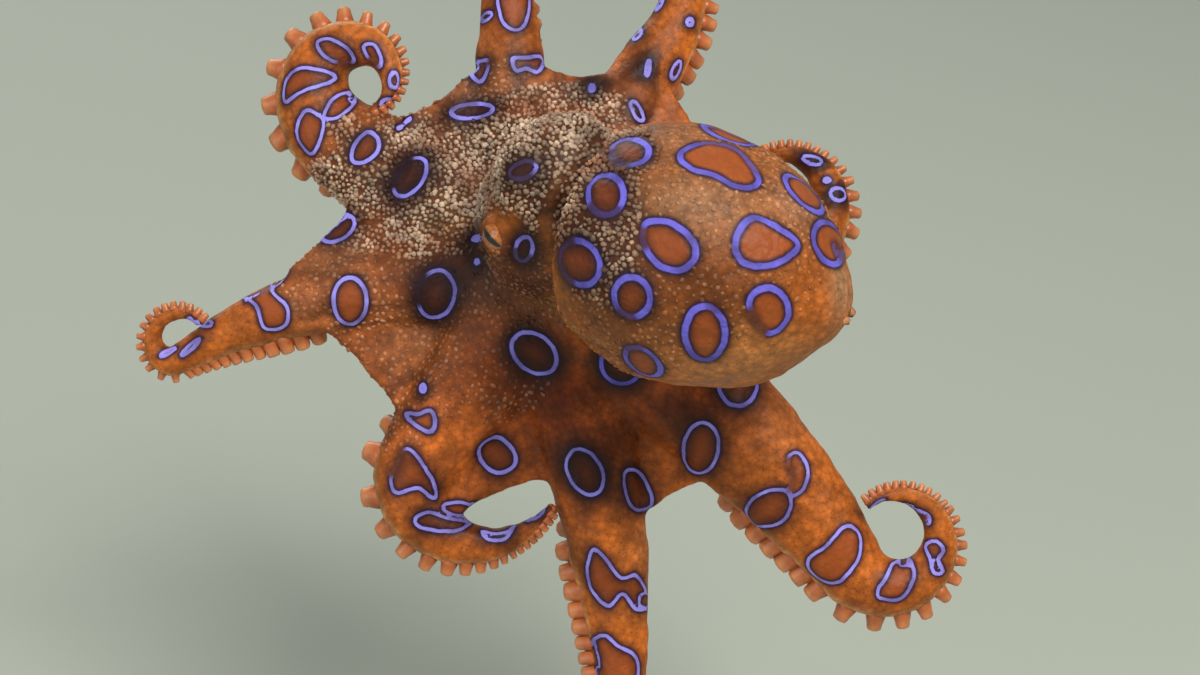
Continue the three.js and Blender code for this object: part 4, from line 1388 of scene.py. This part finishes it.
def cast_resin():
    """Stone coloured resin with a fine fleck, cast and left matt."""
    made, tree, shader = new_material("matt cast resin", {"Roughness": 0.62})
    place = add(tree, "TexCoord", out="Object")
    fleck = add(tree, "TexNoise", {"Vector": place, "Scale": 1 / (FLECK_MM * MM), "Detail": 4})
    share = add(tree, "MapRange", {0: fleck, 1: 0.55, 2: 0.7, 3: 0, 4: 0.5})
    stone = add(tree, "Mix", {0: share, 6: colour(RESIN_STONE), 7: colour(RESIN_FLECK)}, data_type="RGBA")
    relief = add(tree, "Bump", {"Height": fleck, "Strength": 0.12, "Distance": 0.1 * MM})
    feed(shader, {"Base Color": stone, "Normal": relief})
    return made


def brushed_steel():
    """Stainless rod, brushed along its length."""
    made, tree, shader = new_material("brushed stainless steel", {"Metallic": 1})
    place = add(tree, "TexCoord", out="Object")
    stretch = add(tree, "Mapping", {"Vector": place, "Scale": (1, 1, BRUSH_LONG)})
    brush = add(tree, "TexNoise", {"Vector": stretch, "Scale": 1 / (BRUSH_MM * MM), "Detail": 3})
    steel = add(tree, "Mix", {0: brush, 6: colour(STEEL_DARK), 7: colour(STEEL_BRIGHT)}, data_type="RGBA")
    rough = add(tree, "MapRange", {0: brush, 3: 0.25, 4: 0.42})
    relief = add(tree, "Bump", {"Height": brush, "Strength": 0.1, "Distance": 0.03 * MM})
    feed(shader, {"Base Color": steel, "Roughness": rough, "Normal": relief})
    return made


for node, finish in (("stand_base", cast_resin()), ("stand_rod", brushed_steel())):
    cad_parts[node].data.materials.clear()
    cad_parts[node].data.materials.append(finish)

# %% [markdown]
# The floor is a plain pale sheet, grey-green like the water in the photograph. The light is a studio's:
# one large soft lamp above and to the right, a weaker one at the left, and a pale room around.

# %% Floor and lights
FLOOR_SIZE = 8
FLOOR_GREY = 0xA8AEA2
ROOM_TINT = 0xE2E6E0
ROOM_STRENGTH = 0.42
LAMPS_LOOK_AT = Vector((0, 0, 0.08))
bm = bmesh.new()
bmesh.ops.create_grid(bm, x_segments=1, y_segments=1, size=FLOOR_SIZE / 2)
floor = finished("floor", bm)
floor_inputs = {"Roughness": 0.9, "Base Color": colour(FLOOR_GREY)}
floor.data.materials.append(new_material("plain pale floor", floor_inputs)[0])


def soft_lamp(name, place, size, power, tint):
    """A large square lamp that looks at the animal."""
    lamp = bpy.data.objects.new(name, bpy.data.lights.new(name, "AREA"))
    lamp.data.size = size
    lamp.data.energy = power
    lamp.data.color = linear(tint)
    lamp.location = place
    lamp.rotation_euler = (LAMPS_LOOK_AT - Vector(place)).to_track_quat("-Z", "Y").to_euler()
    bpy.context.scene.collection.objects.link(lamp)


soft_lamp("key lamp", (0.22, -0.42, 0.62), 0.32, 5.2, 0xFFFCF6)
soft_lamp("fill lamp", (-0.6, -0.55, 0.3), 0.6, 2.0, 0xF4FAFF)
soft_lamp("rim lamp", (-0.3, 0.6, 0.6), 0.5, 2.5, 0xFFFFFF)
bpy.context.scene.view_settings.view_transform = "Standard"
world = bpy.data.worlds.new("pale room")
world.use_nodes = True
feed(world.node_tree.nodes["Background"], {"Color": colour(ROOM_TINT), "Strength": ROOM_STRENGTH})
bpy.context.scene.world = world
